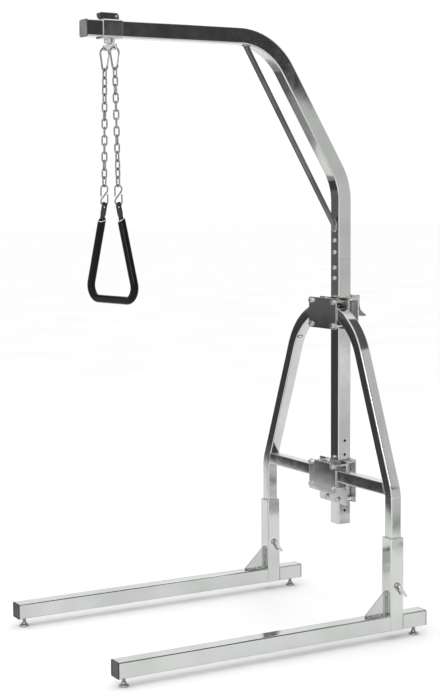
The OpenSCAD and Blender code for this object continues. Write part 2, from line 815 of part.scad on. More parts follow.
module hanger_plate() {
    head_t = 4;
    sunk = 4;
    head_z = collar_low - housing_h + housing_lip + body_gap;
    plate_top = collar_low - housing_h - 2;
    plate_low = hanger_hole_z - 9;
    color([0.8, 0.8, 0.8]) trapeze() difference() {
        union() {
            translate([0, 0, plate_top - sunk])
                cylinder(r = stem_hole_r - 0.05, h = head_z - plate_top + sunk + 1);
            translate([0, 0, head_z]) cylinder(r = housing_r - 5, h = head_t);
            translate([0, hanger_t / 2, (plate_top + plate_low) / 2]) rotate([90, 0, 0])
                linear_extrude(hanger_t) rounded_rect(hanger_span + 20, plate_top - plate_low, 6);
        }
        for (side = [-1, 1]) translate([side * hanger_span / 2, 0, hanger_hole_z])
            y_rod(hanger_hole_r, -hanger_t, hanger_t);
    }
}

// Arc of round wire in the YZ plane about (y, z), from angle a0 over `sweep` degrees
module wire_arc(y, z, r, wire, a0, sweep) {
    translate([0, y, z]) rotate([90, 0, 90])
        rotate_extrude(angle = sweep, start = a0) translate([r, 0]) circle(wire);
}

// Straight round wire in the YZ plane between two [y, z] points, longer by `over` at each end
module wire_line(p, q, wire, over = 0) {
    dy = q[0] - p[0];
    dz = q[1] - p[1];
    translate([0, p[0], p[1]]) rotate([-atan2(dy, dz), 0, 0]) translate([0, 0, -over])
        cylinder(r = wire, h = sqrt(dy * dy + dz * dz) + 2 * over);
}

// Point on a circle of the YZ plane
function on_circle(y, z, r, a) = [y + r * cos(a), z + r * sin(a)];

// Lean of the snap hook's straight sides from upright, and the ends of the side its gate closes
hook_lean = asin((hook_top_r - hook_foot_r) / hook_drop);
hook_side_len = hook_drop * cos(hook_lean);
hook_foot_arc_z = hook_arc_z - hook_drop;
gate_foot = on_circle(0, hook_foot_arc_z, hook_foot_r, -hook_lean);
cheek_len = 6;
gate_pivot_at = 3;
gate_half_w = 1.3;
gate_pin_r = 0.8;

// Children with the origin at the gate side's lower end and +Z along that side
module gate_side() {
    translate([0, gate_foot[0], gate_foot[1]]) rotate([-hook_lean, 0, 0]) children();
}

// Pear-shaped snap hook, wide end up, open on the side that its gate closes
module snap_hook(side) {
    bend_wire = hook_wire + bend_swell;
    nose = 2;
    slot = gate_half_w + body_gap;
    color([0.6, 0.6, 0.6]) strand(side) {
        wire_arc(0, hook_arc_z, hook_top_r, bend_wire, nose - hook_lean, 180 + 2 * hook_lean - nose);
        wire_arc(0, hook_foot_arc_z, hook_foot_r, bend_wire, 180 + hook_lean, 180 - 2 * hook_lean);
        translate([0, -gate_foot[0], gate_foot[1]]) rotate([hook_lean, 0, 0])
            translate([0, 0, -0.2]) cylinder(r = hook_wire, h = hook_side_len + 0.4);
        gate_side() {
            difference() {
                translate([0, 0, -0.2]) cylinder(r = hook_wire, h = cheek_len + 0.2);
                translate([-slot, -2 * hook_wire, 0.2]) cube([2 * slot, 4 * hook_wire, cheek_len]);
            }
            translate([0, 0, gate_pivot_at]) x_rod(gate_pin_r, -slot - 0.5, slot + 0.5);
        }
    }
}

module snap_gate(side) {
    eye_r = 2.3;
    tip_gap = 0.2;
    color([0.6, 0.6, 0.6]) strand(side) gate_side() difference() {
        union() {
            translate([0, 0, gate_pivot_at]) x_rod(eye_r, -gate_half_w, gate_half_w);
            translate([0, 0, gate_pivot_at]) cylinder(r = gate_half_w - 0.1,
                                                      h = hook_side_len - gate_pivot_at - tip_gap);
            translate([0, 0, cheek_len + 1]) cylinder(r = gate_wire,
                                                      h = hook_side_len - cheek_len - 1 - tip_gap);
        }
        translate([0, 0, gate_pivot_at]) x_rod(gate_pin_r + 0.05, -2 * gate_half_w, 2 * gate_half_w);
    }
}

// Closed oval link hanging from its top end at the origin, in the XZ plane
module link() {
    straight = link_len - 2 * link_r;
    rotate([0, 0, 90]) {
        wire_arc(0, -link_r, link_r, link_wire, 0, 180);
        wire_arc(0, -link_r - straight, link_r, link_wire, 180, 180);
        for (side = [-1, 1])
            wire_line([side * link_r, -link_r - straight], [side * link_r, -link_r], link_wire);
    }
}

// Links alternate by a little under a right angle, so the last one faces like the first
module chain(side) {
    step_turn = 90 * (links - 2) / (links - 1);
    color([0.7, 0.7, 0.7]) strand(side) for (i = [0 : links - 1])
        translate([0, 0, chain_top_z - i * link_step]) rotate([0, 0, side * i * step_turn]) link();
}

// S-hook in the YZ plane: two arcs, the straight line that touches both, and a straight prong at each end
module s_hook(side) {
    cross = asin(s_r / s_half);
    bend_wire = s_wire + bend_swell;
    color([0.75, 0.75, 0.75]) strand(side) translate([0, 0, s_mid_z]) {
        wire_arc(0, s_half, s_r, bend_wire, cross - 90, 270 - cross);
        wire_arc(0, -s_half, s_r, bend_wire, cross + 90, 270 - cross);
        for (end = [-1, 1])
            wire_line([end * s_r, -end * s_half], [end * s_r, end * (s_prong - s_half)], s_wire, 0.2);
        wire_line(on_circle(0, -s_half, s_r, cross + 90), on_circle(0, s_half, s_r, cross - 90),
                  s_wire, 0.2);
    }
}

// Handle: the straight sides touch the corner arcs
handle_lean = 90 - handle_side_angle();
function handle_side_angle() =
    let (dx = handle_span / 2 - handle_corner_x,
         dz = handle_drop - handle_corner_r)
    acos(handle_corner_r / sqrt(dx * dx + dz * dz)) + atan2(dx, dz);
handle_side_len = sqrt(pow(handle_span / 2 - handle_corner_x, 2) + pow(handle_drop - handle_corner_r, 2)
                       - handle_corner_r * handle_corner_r);

// Children in the frame of one handle side: origin at its hole, +Z down along the side
module handle_side(side) {
    translate([side * handle_span / 2, 0, handle_hole_z]) rotate([0, side * (180 - handle_lean), 0])
        children();
}

// Round bar of radius r bent to the handle's outline; each side starts `skip` below its hole
module handle_bar(r, skip) {
    for (side = [-1, 1]) {
        handle_side(side) translate([0, 0, skip]) cylinder(r = r, h = handle_side_len - skip + lap);
        translate([side * handle_corner_x, 0, handle_bar_z + handle_corner_r]) rotate([90, 0, 0])
            rotate_extrude(angle = side * (90 + handle_lean), start = -90)
                translate([handle_corner_r, 0]) circle(r + bend_swell);
    }
    translate([0, 0, handle_bar_z]) x_rod(r, -handle_corner_x - lap, handle_corner_x + lap);
}

// Steel tube with flattened, drilled ends
module handle_tube() {
    flare = 12;
    neck_r = handle_tube_r - 0.3;
    color([0.12, 0.12, 0.12]) trapeze() {
        handle_bar(handle_tube_r, tab_len + flare / 2);
        for (side = [-1, 1]) handle_side(side) {
            difference() {
                union() {
                    for (x = [-1, 1]) translate([x * (tab_w / 2 - tab_corner), 0, tab_corner - tab_top])
                        y_rod(tab_corner, -tab_t / 2, tab_t / 2);
                    translate([tab_corner - tab_w / 2, -tab_t / 2, -tab_top])
                        cube([tab_w - 2 * tab_corner, tab_t, tab_top + tab_len]);
                    translate([-tab_w / 2, -tab_t / 2, tab_corner - tab_top])
                        cube([tab_w, tab_t, tab_top - tab_corner + tab_len]);
                }
                y_rod(handle_hole_r, -tab_t, tab_t);
            }
            hull() {
                translate([-tab_w / 2 + 0.2, -tab_t / 2 - 0.2, tab_len - 2])
                    cube([tab_w - 0.4, tab_t + 0.4, 1]);
                translate([0, 0, tab_len + flare - 1]) cylinder(r = neck_r, h = 1, $fn = 32);
            }
        }
    }
}

// Vinyl sleeve over the handle tube
module handle_grip() {
    color([0.05, 0.05, 0.05]) trapeze() difference() {
        handle_bar(grip_dia / 2, grip_start);
        handle_bar(handle_tube_r + 0.05, grip_start - 2);
    }
}

// ---------------------------------------------------------------- nodes

leg_front_tube(-1);  // left_leg_tube
leg_front_tube(1);  // right_leg_tube
leg_rear_tube(-1);  // left_rear_tube
leg_rear_tube(1);  // right_rear_tube
socket(-1);  // left_socket
socket(1);  // right_socket
gusset(-1);  // left_gusset
gusset(1);  // right_gusset
leg_front_caps();
leg_rear_caps();
glide_nuts();
glide(-1, glide_inset_front - leg_front);  // glide_front_left
glide(1, glide_inset_front - leg_front);  // glide_front_right
glide(-1, leg_rear - glide_inset_rear);  // glide_rear_left
glide(1, leg_rear - glide_inset_rear);  // glide_rear_right
screw_bosses();
lock_screw(-1);  // left_lock_screw
lock_screw(1);  // right_lock_screw
socket_liners();
a_frame();
crossbar();
upper_front_plate();
upper_middle_plate();
upper_rear_plate();
lower_front_plate();
lower_middle_plate();
lower_rear_plate();
frame_bolts();
frame_nuts();
mast_bolts();
mast_nuts();
mast_spacers();
lever_bracket();
clamp_lever();
lever_pin();
brake_pad();
mast_tube();
boom_tube();
splice_sleeve();
splice_screws();
strut();
boom_cap();
stop_screw();
collar();
collar_lever();
collar_lever_pin();
collar_shoe();
swivel_housing();
hanger_plate();
snap_hook(-1);  // hook_left
snap_hook(1);  // hook_right
snap_gate(-1);  // gate_left
snap_gate(1);  // gate_right
chain(-1);  // chain_left
chain(1);  // chain_right
s_hook(-1);  // s_hook_left
s_hook(1);  // s_hook_right
handle_tube();
handle_grip();
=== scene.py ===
"""Looks of the free-standing trapeze stand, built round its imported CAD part.

Shapes are worked out in millimetres in the column's frame: x = 0 is the stand's middle plane, y = 0 the
plane through the two sockets, z = 0 the floor. piece() turns them into metres in the part's own frame.
"""

import math

import bmesh
import bpy
from mathutils import Matrix, Vector, noise
from mathutils.geometry import tessellate_polygon


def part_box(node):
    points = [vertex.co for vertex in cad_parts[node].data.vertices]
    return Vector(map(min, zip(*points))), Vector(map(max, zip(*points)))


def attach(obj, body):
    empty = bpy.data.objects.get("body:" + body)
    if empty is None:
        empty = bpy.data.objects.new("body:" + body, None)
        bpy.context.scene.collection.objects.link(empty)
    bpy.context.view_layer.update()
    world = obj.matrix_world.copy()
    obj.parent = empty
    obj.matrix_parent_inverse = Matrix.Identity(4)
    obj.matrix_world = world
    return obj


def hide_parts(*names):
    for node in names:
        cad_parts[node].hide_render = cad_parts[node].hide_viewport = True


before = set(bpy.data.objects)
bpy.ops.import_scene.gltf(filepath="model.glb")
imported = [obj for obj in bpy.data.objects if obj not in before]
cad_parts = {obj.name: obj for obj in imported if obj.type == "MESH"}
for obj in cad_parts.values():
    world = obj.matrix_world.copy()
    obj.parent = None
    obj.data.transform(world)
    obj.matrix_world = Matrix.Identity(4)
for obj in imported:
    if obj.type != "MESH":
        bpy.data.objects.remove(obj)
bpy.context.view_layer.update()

MM = 0.001
SIDES = {"left": -1, "right": 1}

# ---------------------------------------------------------------- sizes from the frame

socket_lo, socket_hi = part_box("right_socket")
COLUMN = Vector((0, (socket_lo.y + socket_hi.y) / 2, 0))


def box(node):
    """A CAD node's corners in millimetres in the column's frame."""
    low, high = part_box(node)
    return (low - COLUMN) / MM, (high - COLUMN) / MM


def middle(node):
    low, high = box(node)
    return (low + high) / 2


def shift(x, y, z):
    return Matrix.Translation((x, y, z))


X, Y, Z = Vector((1, 0, 0)), Vector((0, 1, 0)), Vector((0, 0, 1))
CORNER_R = 4
WALL = 2

SOCKET_LO, SOCKET_HI = box("right_socket")
LEG_X = middle("right_socket").x
LEG_TUBE = SOCKET_HI.x - SOCKET_LO.x
LEG_LOW, SOCKET_TOP = SOCKET_LO.z, SOCKET_HI.z
LEG_HIGH = LEG_LOW + LEG_TUBE
LEG_FRONT = box("right_leg_tube")[0].y
LEG_REAR = box("right_rear_tube")[1].y
LEG_MID = (LEG_LOW + LEG_HIGH) / 2

FRAME_LO, FRAME_HI = box("a_frame")
FRAME_TUBE = FRAME_HI.y - FRAME_LO.y
FRAME_FOOT = FRAME_LO.z
ARCH_TOP = FRAME_HI.z - FRAME_TUBE / 2
KNEE_Z, KNEE_R, ARCH_R = 415, 100, 190
ARCH_RISE = ARCH_TOP - ARCH_R - KNEE_Z
FRAME_LEAN = math.acos(ARCH_R / math.hypot(LEG_X, ARCH_RISE)) - math.atan2(ARCH_RISE, LEG_X)
CROSSBAR_Z = middle("crossbar").z

MAST_LO, MAST_HI = box("mast_tube")
MAST_W, MAST_D = MAST_HI.x - MAST_LO.x, MAST_HI.y - MAST_LO.y
MAST_Y = middle("mast_tube").y
MAST_FRONT = MAST_Y - MAST_D / 2
SPLICE_Z = MAST_HI.z
BOOM_LO, BOOM_HI = box("boom_tube")
BOOM_Z = BOOM_HI.z - MAST_D / 2
BOOM_FRONT = BOOM_LO.y
BOOM_LEAN = math.radians(31.4)
MAST_KNEE_Z = 1281.5
BOOM_KNEE_Y = MAST_Y - (BOOM_Z - MAST_KNEE_Z) * math.tan(BOOM_LEAN)
BEND_R = 185

PLATE_R = 6
BOLT_AF, HEAD_H, NUT_H = 13, 5.5, 6.5
BOLT_R, BOLT_HOLE_R, WASHER_R, WASHER_T = 4, 4.25, 8.5, 1.6
SPACER_R, SPACER_GAP = 6.5, 0.3

# ---------------------------------------------------------------- mesh building


class Solid:
    """Faces gathered for one object. `at` places what is added in the column's frame."""

    def __init__(self, at=None):
        self.points, self.faces = [], []
        self.at = at or Matrix.Identity(4)

    def add(self, shape, at=None):
        points, faces = shape
        place = self.at @ at if at else self.at
        first = len(self.points)
        self.points += [place @ Vector(p) for p in points]
        self.faces += [[first + i for i in face] for face in faces]
        return self


def add_object(name, data):
    obj = bpy.data.objects.new(name, data)
    bpy.context.scene.collection.objects.link(obj)
    return obj


def make_mesh(name, solid):
    mesh = bpy.data.meshes.new(name)
    mesh.from_pydata([p * MM + COLUMN for p in solid.points], [], solid.faces)
    work = bmesh.new()
    work.from_mesh(mesh)
    bmesh.ops.remove_doubles(work, verts=work.verts, dist=2e-6)
    bmesh.ops.dissolve_degenerate(work, edges=work.edges, dist=1e-6)
    bmesh.ops.recalc_face_normals(work, faces=work.faces)
    work.to_mesh(mesh)
    work.free()
    return mesh


def cut(obj, cutter):
    """Takes the solid `cutter` away from the object's mesh."""
    tool = add_object("cutter", make_mesh("cutter", cutter))
    change = obj.modifiers.new("cut", "BOOLEAN")
    change.operation, change.solver, change.object = "DIFFERENCE", "EXACT", tool
    change.use_self = True
    graph = bpy.context.evaluated_depsgraph_get()
    result = bpy.data.meshes.new_from_object(obj.evaluated_get(graph), depsgraph=graph)
    obj.modifiers.remove(change)
    obj.data = result
    bpy.data.objects.remove(tool)


def shade(obj, sharp):
    """Smooth faces with sharp edges over `sharp` degrees; big flat faces keep their own direction."""
    work = bmesh.new()
    work.from_mesh(obj.data)
    for face in work.faces:
        face.smooth = True
    for edge in work.edges:
        if len(edge.link_faces) == 2:
            edge.smooth = edge.calc_face_angle() < math.radians(sharp)
    work.to_mesh(obj.data)
    work.free()
    weighted = obj.modifiers.new("flat faces", "WEIGHTED_NORMAL")
    weighted.keep_sharp = True


def piece(name, solid, slot, body, *nodes, cutter=None, sharp=40, finish=None):
    """One visible object: rides on a body, stands for CAD nodes and takes the slot's material."""
    obj = add_object(name, make_mesh(name, solid))
    if cutter:
        cut(obj, cutter)
    shade(obj, sharp)
    obj.data.materials.clear()
    obj.data.materials.append(finish or MATERIALS[slot])
    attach(obj, body)
    if nodes:
        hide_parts(*nodes)


def node_piece(node, solid, slot, body, **options):
    """Piece that stands for the CAD node it is named after."""
    piece(f"v_{node}", solid, slot, body, node, **options)


def circle(r, steps):
    turns = [2 * math.pi * i / steps for i in range(steps)]
    return [(r * math.cos(a), r * math.sin(a)) for a in turns]


def arc(cx, cy, r, a0, a1, steps):
    """Points of an arc in degrees, both ends among them."""
    turns = [math.radians(a0 + (a1 - a0) * i / steps) for i in range(steps + 1)]
    return [(cx + r * math.cos(a), cy + r * math.sin(a)) for a in turns]


def rounded(w, d, r, steps=6):
    """Rounded rectangle about the origin, anticlockwise."""
    loop = []
    for sx, sy, a0 in ((1, 1, 0), (-1, 1, 90), (-1, -1, 180), (1, -1, 270)):
        loop += arc(sx * (w / 2 - r), sy * (d / 2 - r), r, a0, a0 + 90, steps)
    return loop


def fillet(corners):
    """Closed outline from (x, y, radius) corners, given anticlockwise."""
    loop = []
    for i, (x, y, r) in enumerate(corners):
        here = Vector((x, y))
        to_last = (Vector(corners[i - 1][:2]) - here).normalized()
        to_next = (Vector(corners[(i + 1) % len(corners)][:2]) - here).normalized()
        half = to_last.angle(to_next) / 2
        if r == 0 or half > math.radians(88):
            loop.append((x, y))
            continue
        centre = here + (to_last + to_next).normalized() * r / math.sin(half)
        start = here + to_last * r / math.tan(half) - centre
        end = here + to_next * r / math.tan(half) - centre
        a0 = math.degrees(math.atan2(start.y, start.x))
        turn = math.degrees(math.atan2(start.cross(end), start.dot(end)))
        loop += arc(centre.x, centre.y, r, a0, a0 + turn, 5)
    return loop


def oblong(x0, y0, x1, y1, low_r, high_r):
    """Rectangle between two corners, its lower and upper corners rounded."""
    return fillet([(x0, y0, low_r), (x1, y0, low_r), (x1, y1, high_r), (x0, y1, high_r)])


def inset(loop, amount):
    """An anticlockwise loop moved inwards, a clockwise one outwards, each side by the same amount."""
    moved = []
    count = len(loop)
    for i in range(count):
        here = Vector(loop[i])
        before = (here - Vector(loop[i - 1])).normalized()
        after = (Vector(loop[(i + 1) % count]) - here).normalized()
        n0, n1 = Vector((-before.y, before.x)), Vector((-after.y, after.x))
        joined = (n0 + n1).normalized()
        moved.append(tuple(here + joined * amount / max(0.4, joined.dot(n0))))
    return moved


def skin(rings, wrap=False, caps=False):
    """Quads between rings of equal length. `wrap` joins the last ring to the first."""
    n = len(rings[0])
    points = [p for ring in rings for p in ring]
    faces = []
    for i in range(len(rings) if wrap else len(rings) - 1):
        j = (i + 1) % len(rings)
        faces += [[i * n + k, i * n + (k + 1) % n, j * n + (k + 1) % n, j * n + k] for k in range(n)]
    if caps:
        faces.append(list(range(n))[::-1])
        faces.append([(len(rings) - 1) * n + k for k in range(n)])
    return points, faces


class Station:
    """A place on a path: its point, direction, and the two axes of a section drawn there."""

    def __init__(self, point, ahead, across):
        self.point, self.ahead, self.across = Vector(point), Vector(ahead).normalized(), Vector(across)
        self.up = self.ahead.cross(self.across)

    def ring(self, loop, along=0.0):
        return [self.point + self.ahead * along + self.across * u + self.up * v for u, v in loop]


def bent_path(corners, radii, across, step=3.0):
    """Stations along straight runs joined by arcs, all in the plane at right angles to `across`."""
    corners = [Vector(c) for c in corners]
    first = (corners[1] - corners[0]).normalized()
    stations = [Station(corners[0], first, across)]
    for i, radius in enumerate(radii, start=1):
        before = (corners[i] - corners[i - 1]).normalized()
        after = (corners[i + 1] - corners[i]).normalized()
        turn = before.angle(after)
        inward = (after - before * before.dot(after)).normalized()
        centre = corners[i] - before * radius * math.tan(turn / 2) + inward * radius
        steps = math.ceil(math.degrees(turn) / step)
        for k in range(steps + 1):
            a = turn * k / steps
            at = centre - inward * radius * math.cos(a) + before * radius * math.sin(a)
            stations.append(Station(at, before * math.cos(a) + inward * math.sin(a), across))
    stations.append(Station(corners[-1], corners[-1] - corners[-2], across))
    return stations


def tube(stations, outer, eased, inner, edge):
    """Hollow tube along a path from its three section loops, its ends broken by a small edge."""
    first, last = stations[0], stations[-1]
    rings = [first.ring(eased), first.ring(outer, edge)]
    rings += [s.ring(outer) for s in stations[1:-1]]
    rings += [last.ring(outer, -edge), last.ring(eased)]
    rings += [s.ring(inner) for s in reversed(stations)]
    return skin(rings, wrap=True)


def square_tube(stations, w, d, wall=WALL, r=CORNER_R, edge=0.5):
    inner = rounded(w - 2 * wall, d - 2 * wall, max(0.5, r - wall))
    return tube(stations, rounded(w, d, r), rounded(w - 2 * edge, d - 2 * edge, r - edge), inner, edge)


def round_tube(stations, r, wall, steps):
    edge = 0.4
    return tube(stations, circle(r, steps), circle(r - edge, steps), circle(r - wall, steps), edge)


def with_heading(points, closed):
    """Each point with the way from the point before it to the one after it."""
    count = len(points)
    for i, p in enumerate(points):
        last = points[i - 1] if closed or i else p
        after = points[(i + 1) % count] if closed or i < count - 1 else p
        yield p, after - last


def wire(points, r, across, steps, closed=False, swell=lambda i: 1.0):
    """Round wire through points, its ends domed. `swell` maps a point's index to a radius factor."""
    stations = [Station(p, ahead, across) for p, ahead in with_heading([Vector(p) for p in points], closed)]
    rings = [s.ring(circle(r * swell(i), steps)) for i, s in enumerate(stations)]
    if closed:
        return skin(rings, wrap=True)
    domes = [(0.99, 0.1), (0.86, 0.5), (0.5, 0.86), (0.15, 0.98)]
    head = [stations[0].ring(circle(r * w, steps), -r * h) for w, h in reversed(domes)]
    tail = [stations[-1].ring(circle(r * w, steps), r * h) for w, h in domes]
    return skin(head + rings + tail, caps=True)


def bead(points, r, seed, closed=True, pitch=2.4):
    """Weld bead along points: a round cord whose thickness ripples as a laid weld does."""
    corners = [Vector(p) for p in points]
    if closed:
        corners.append(corners[0])
    path, lengths, travelled = [], [], 0.0
    for p, q in zip(corners, corners[1:]):
        length = (q - p).length
        steps = max(1, round(length / 0.9))
        path += [p.lerp(q, k / steps) for k in range(steps)]
        lengths += [travelled + length * k / steps for k in range(steps)]
        travelled += length
    if not closed:
        path.append(corners[-1])
        lengths.append(travelled)
    rings = []
    for (p, ahead), along in zip(with_heading(path, closed), lengths):
        ahead = ahead.normalized()
        side = ahead.orthogonal().normalized() if abs(ahead.z) > 0.9 else ahead.cross(Z).normalized()
        ripple = 1 + 0.14 * math.sin(2 * math.pi * along / pitch)
        ripple += 0.26 * noise.noise(Vector((along * 0.12, seed, 0)))
        rings.append(Station(p, ahead, side).ring(circle(r * ripple, 8)))
    return skin(rings, wrap=closed, caps=not closed)


def place(origin, along, up):
    """Matrix whose X is `along`, Y is `up` and Z their cross product, at `origin`."""
    along, up = Vector(along).normalized(), Vector(up).normalized()
    matrix = Matrix((along, up, along.cross(up))).transposed().to_4x4()
    matrix.translation = Vector(origin)
    return matrix


def prism(outline, thickness, holes=(), *, edge):
    """Plate from z = 0 to its thickness with eased edges. Holes are clockwise loops."""
    loops = [list(outline)] + [list(h) for h in holes]
    levels = [(edge, 0), (edge * 0.29, edge * 0.29), (0, edge)]
    levels += [(inward, thickness - z) for inward, z in reversed(levels)]
    points, faces, caps = [], [], {0: [], len(levels) - 1: []}
    for loop in loops:
        n, first = len(loop), len(points)
        for inward, z in levels:
            points += [(x, y, z) for x, y in inset(loop, inward)]
        for i in range(len(levels) - 1):
            low, high = first + i * n, first + (i + 1) * n
            faces += [[low + k, low + (k + 1) % n, high + (k + 1) % n, high + k] for k in range(n)]
        for level in caps:
            caps[level].append([first + level * n + k for k in range(n)])
    for rings in caps.values():
        index = [i for ring in rings for i in ring]
        flat = [[Vector((points[i][0], points[i][1], 0)) for i in ring] for ring in rings]
        faces += [[index[k] for k in triangle] for triangle in tessellate_polygon(flat)]
    return points, faces


def hole(x, y, r, steps=20):
    return [(x + u, y + v) for u, v in reversed(circle(r, steps))]


def stepped_block(w, d, levels, least_r):
    """Block between rounded rectangles, each given by its height and how far its sides are inset."""
    rings = [[(u, v, z) for u, v in rounded(w - 2 * i, d - 2 * i, max(least_r, CORNER_R - i))]
             for z, i in levels]
    return skin(rings, caps=True)


def lathe(profile, steps=36):
    """Turns (radius, height) points about Z. A point on the axis closes the shape."""
    rings, points, faces = [], [], []
    for r, h in profile:
        ring = [(u, v, h) for u, v in circle(r, steps)] if r > 1e-6 else [(0, 0, h)]
        rings.append(range(len(points), len(points) + len(ring)))
        points += ring
    for low, high in zip(rings, rings[1:] if profile[0][0] < 1e-6 else rings[1:] + rings[:1]):
        for k in range(steps):
            j = (k + 1) % steps
            quad = [low[k % len(low)], low[j % len(low)], high[j % len(high)], high[k % len(high)]]
            faces.append(list(dict.fromkeys(quad)))
    return points, [f for f in faces if len(f) > 2]


def hex_prism(af, height, bore=0.0):
    """Hexagon along Z, chamfered on top as a bolt head is. With a bore it is a nut, chamfered below too."""
    flat = af / 2
    round_r = flat * 0.97
    n = 36
    angles = [2 * math.pi * i / n for i in range(n)]
    reach = [flat / math.cos((a + math.pi / 6) % (math.pi / 3) - math.pi / 6) for a in angles]
    drop = [(r - round_r) * math.tan(math.radians(30)) for r in reach]

    def ring(radii, heights):
        return [(r * math.cos(a), r * math.sin(a), h) for r, a, h in zip(radii, angles, heights)]

    top = [ring(reach, [height - d for d in drop]), ring([round_r] * n, [height] * n)]
    if not bore:
        dish = ring([round_r * 0.8] * n, [height - 0.25] * n)
        return skin([ring(reach, [0.0] * n)] + top + [dish], caps=True)
    inside = ((bore + 0.5, height), (bore, height - 0.5), (bore, 0.5), (bore + 0.5, 0))
    rings = [ring([round_r] * n, [0] * n), ring(reach, drop)] + top
    return skin(rings + [ring([r] * n, [h] * n) for r, h in inside], wrap=True)


def thread(r, z0, z1, pitch=1.25, depth=0.45):
    """Profile of a threaded rod's outside from z0 to z1, with a pointed end."""
    turns = max(1, int((z1 - z0 - 1) / pitch))
    profile = [(r, z0)]
    for i in range(turns):
        z = z0 + i * pitch
        profile += [(r, z + 0.15 * pitch), (r - depth, z + 0.5 * pitch), (r, z + 0.85 * pitch)]
    return profile + [(r, z0 + turns * pitch), (r - 0.8, z1), (0, z1)]


def disc(r, z0, z1, edge, bore=0):
    """Round disc or ring from z0 to z1 with its outer edges eased."""
    return lathe([(bore, z0), (r - edge, z0), (r, z0 + edge), (r, z1 - edge), (r - edge, z1), (bore, z1)])


def drill(r, length, steps=36):
    """Plain round bar to cut holes with."""
    return lathe([(0, 0), (r, 0), (r, length), (0, length)], steps)


# ---------------------------------------------------------------- materials


def fill_ramp(ramp, stops):
    """Gives a colour ramp node its (position, colour) stops."""
    while len(ramp.color_ramp.elements) < len(stops):
        ramp.color_ramp.elements.new(0.5)
    for element, (at, color) in zip(ramp.color_ramp.elements, stops):
        element.position, element.color = at, (*color, 1)


class Shader:
    """A material under construction: its nodes, its principled shader and a few procedural patterns."""

    def __init__(self, name, color, metallic=0.0, roughness=0.4, **values):
        self.material = bpy.data.materials.new(name)
        self.material.use_nodes = True
        self.tree = self.material.node_tree
        self.shader = self.tree.nodes["Principled BSDF"]
        self.place = self.tree.nodes.new("ShaderNodeTexCoord").outputs["Object"]
        self.shader.inputs["Base Color"].default_value = (*color, 1)
        self.shader.inputs["Metallic"].default_value = metallic
        self.shader.inputs["Roughness"].default_value = roughness
        for key, value in values.items():
            self.shader.inputs[key.replace("_", " ")].default_value = value
        self.normal = None

    def node(self, kind, **inputs):
        made = self.tree.nodes.new(kind)
        for key, value in inputs.items():
            made.inputs[key.replace("_", " ")].default_value = value
        return made

    def noise(self, scale, detail, roughness=0.5):
        pattern = self.node("ShaderNodeTexNoise", Scale=scale, Detail=detail, Roughness=roughness)
        self.tree.links.new(self.place, pattern.inputs["Vector"])
        return pattern.outputs["Fac"]

    def cells(self, scale):
        pattern = self.node("ShaderNodeTexVoronoi", Scale=scale)
        self.tree.links.new(self.place, pattern.inputs["Vector"])
        return pattern.outputs["Color"]

    def colors(self, value, *stops):
        ramp = self.node("ShaderNodeValToRGB")
        fill_ramp(ramp, stops)
        self.tree.links.new(value, ramp.inputs["Fac"])
        self.tree.links.new(ramp.outputs["Color"], self.shader.inputs["Base Color"])

    def rough(self, value, low, high, begin=0.3, end=0.7):
        """Roughness from low to high over the pattern's usual range."""
        mapped = self.node("ShaderNodeMapRange", From_Min=begin, From_Max=end, To_Min=low, To_Max=high)
        self.tree.links.new(value, mapped.inputs["Value"])
        self.tree.links.new(mapped.outputs["Result"], self.shader.inputs["Roughness"])

    def bump(self, value, depth):
        """Adds a relief `depth` millimetres deep on top of the earlier ones."""
        relief = self.node("ShaderNodeBump", Strength=1.0, Distance=depth * MM)
        self.tree.links.new(value, relief.inputs["Height"])
        if self.normal:
            self.tree.links.new(self.normal, relief.inputs["Normal"])
        self.normal = relief.outputs["Normal"]
        self.tree.links.new(self.normal, self.shader.inputs["Normal"])


def chrome(name, bright, dull, wave=0.12, low=0.05, high=0.13):
    """Plated tube: long shallow waves, clouded polish and fine pits."""
    s = Shader(name, bright, metallic=1.0)
    s.colors(s.noise(9, 4), (0.3, dull), (0.62, bright))
    s.rough(s.noise(26, 5, roughness=0.6), low, high)
    s.bump(s.noise(7, 1), wave)
    s.bump(s.noise(60, 2), wave * 0.03)
    s.bump(s.noise(1400, 2), 0.0012)
    return s.material


def zinc(name, bright, dull, grain=420, low=0.2, high=0.38):
    """Zinc plating: small crystals, mottled colour and rubbed high spots."""
    s = Shader(name, bright, metallic=1.0)
    s.colors(s.noise(180, 4), (0.32, dull), (0.66, bright))
    s.rough(s.cells(grain), low, high, 0.1, 0.9)
    s.bump(s.noise(900, 3), 0.01)
    s.bump(s.noise(120, 2), 0.02)
    return s.material


def moulded(name, color, worn, low=0.3, high=0.46, grain=0.02, gloss=0.5):
    """Moulded plastic: fine spark-eroded grain, faint flow clouds and slightly rubbed patches."""
    s = Shader(name, color, roughness=0.4, Specular_IOR_Level=gloss)
    s.colors(s.noise(45, 4), (0.35, color), (0.75, worn))
    s.rough(s.noise(90, 4), low, high)
    s.bump(s.noise(2200, 2), grain)
    s.bump(s.noise(70, 2), 0.03)
    return s.material


def vinyl(name, color, worn):
    """Dipped vinyl: glossy, with soft ripples, small dimples and hand-worn dull patches."""
    s = Shader(name, color, roughness=0.2, Specular_IOR_Level=0.13)
    s.colors(s.noise(30, 5), (0.4, color), (0.8, worn))
    s.rough(s.noise(38, 5), 0.12, 0.24)
    s.bump(s.noise(95, 2), 0.05)
    s.bump(s.noise(700, 2), 0.006)
    return s.material


def rubber(name, color):
    s = Shader(name, color, roughness=0.8, Specular_IOR_Level=0.3)
    s.colors(s.noise(120, 4), (0.3, color), (0.8, tuple(c * 2 for c in color)))
    s.rough(s.noise(200, 3), 0.65, 0.9)
    s.bump(s.noise(1500, 3), 0.05)
    return s.material


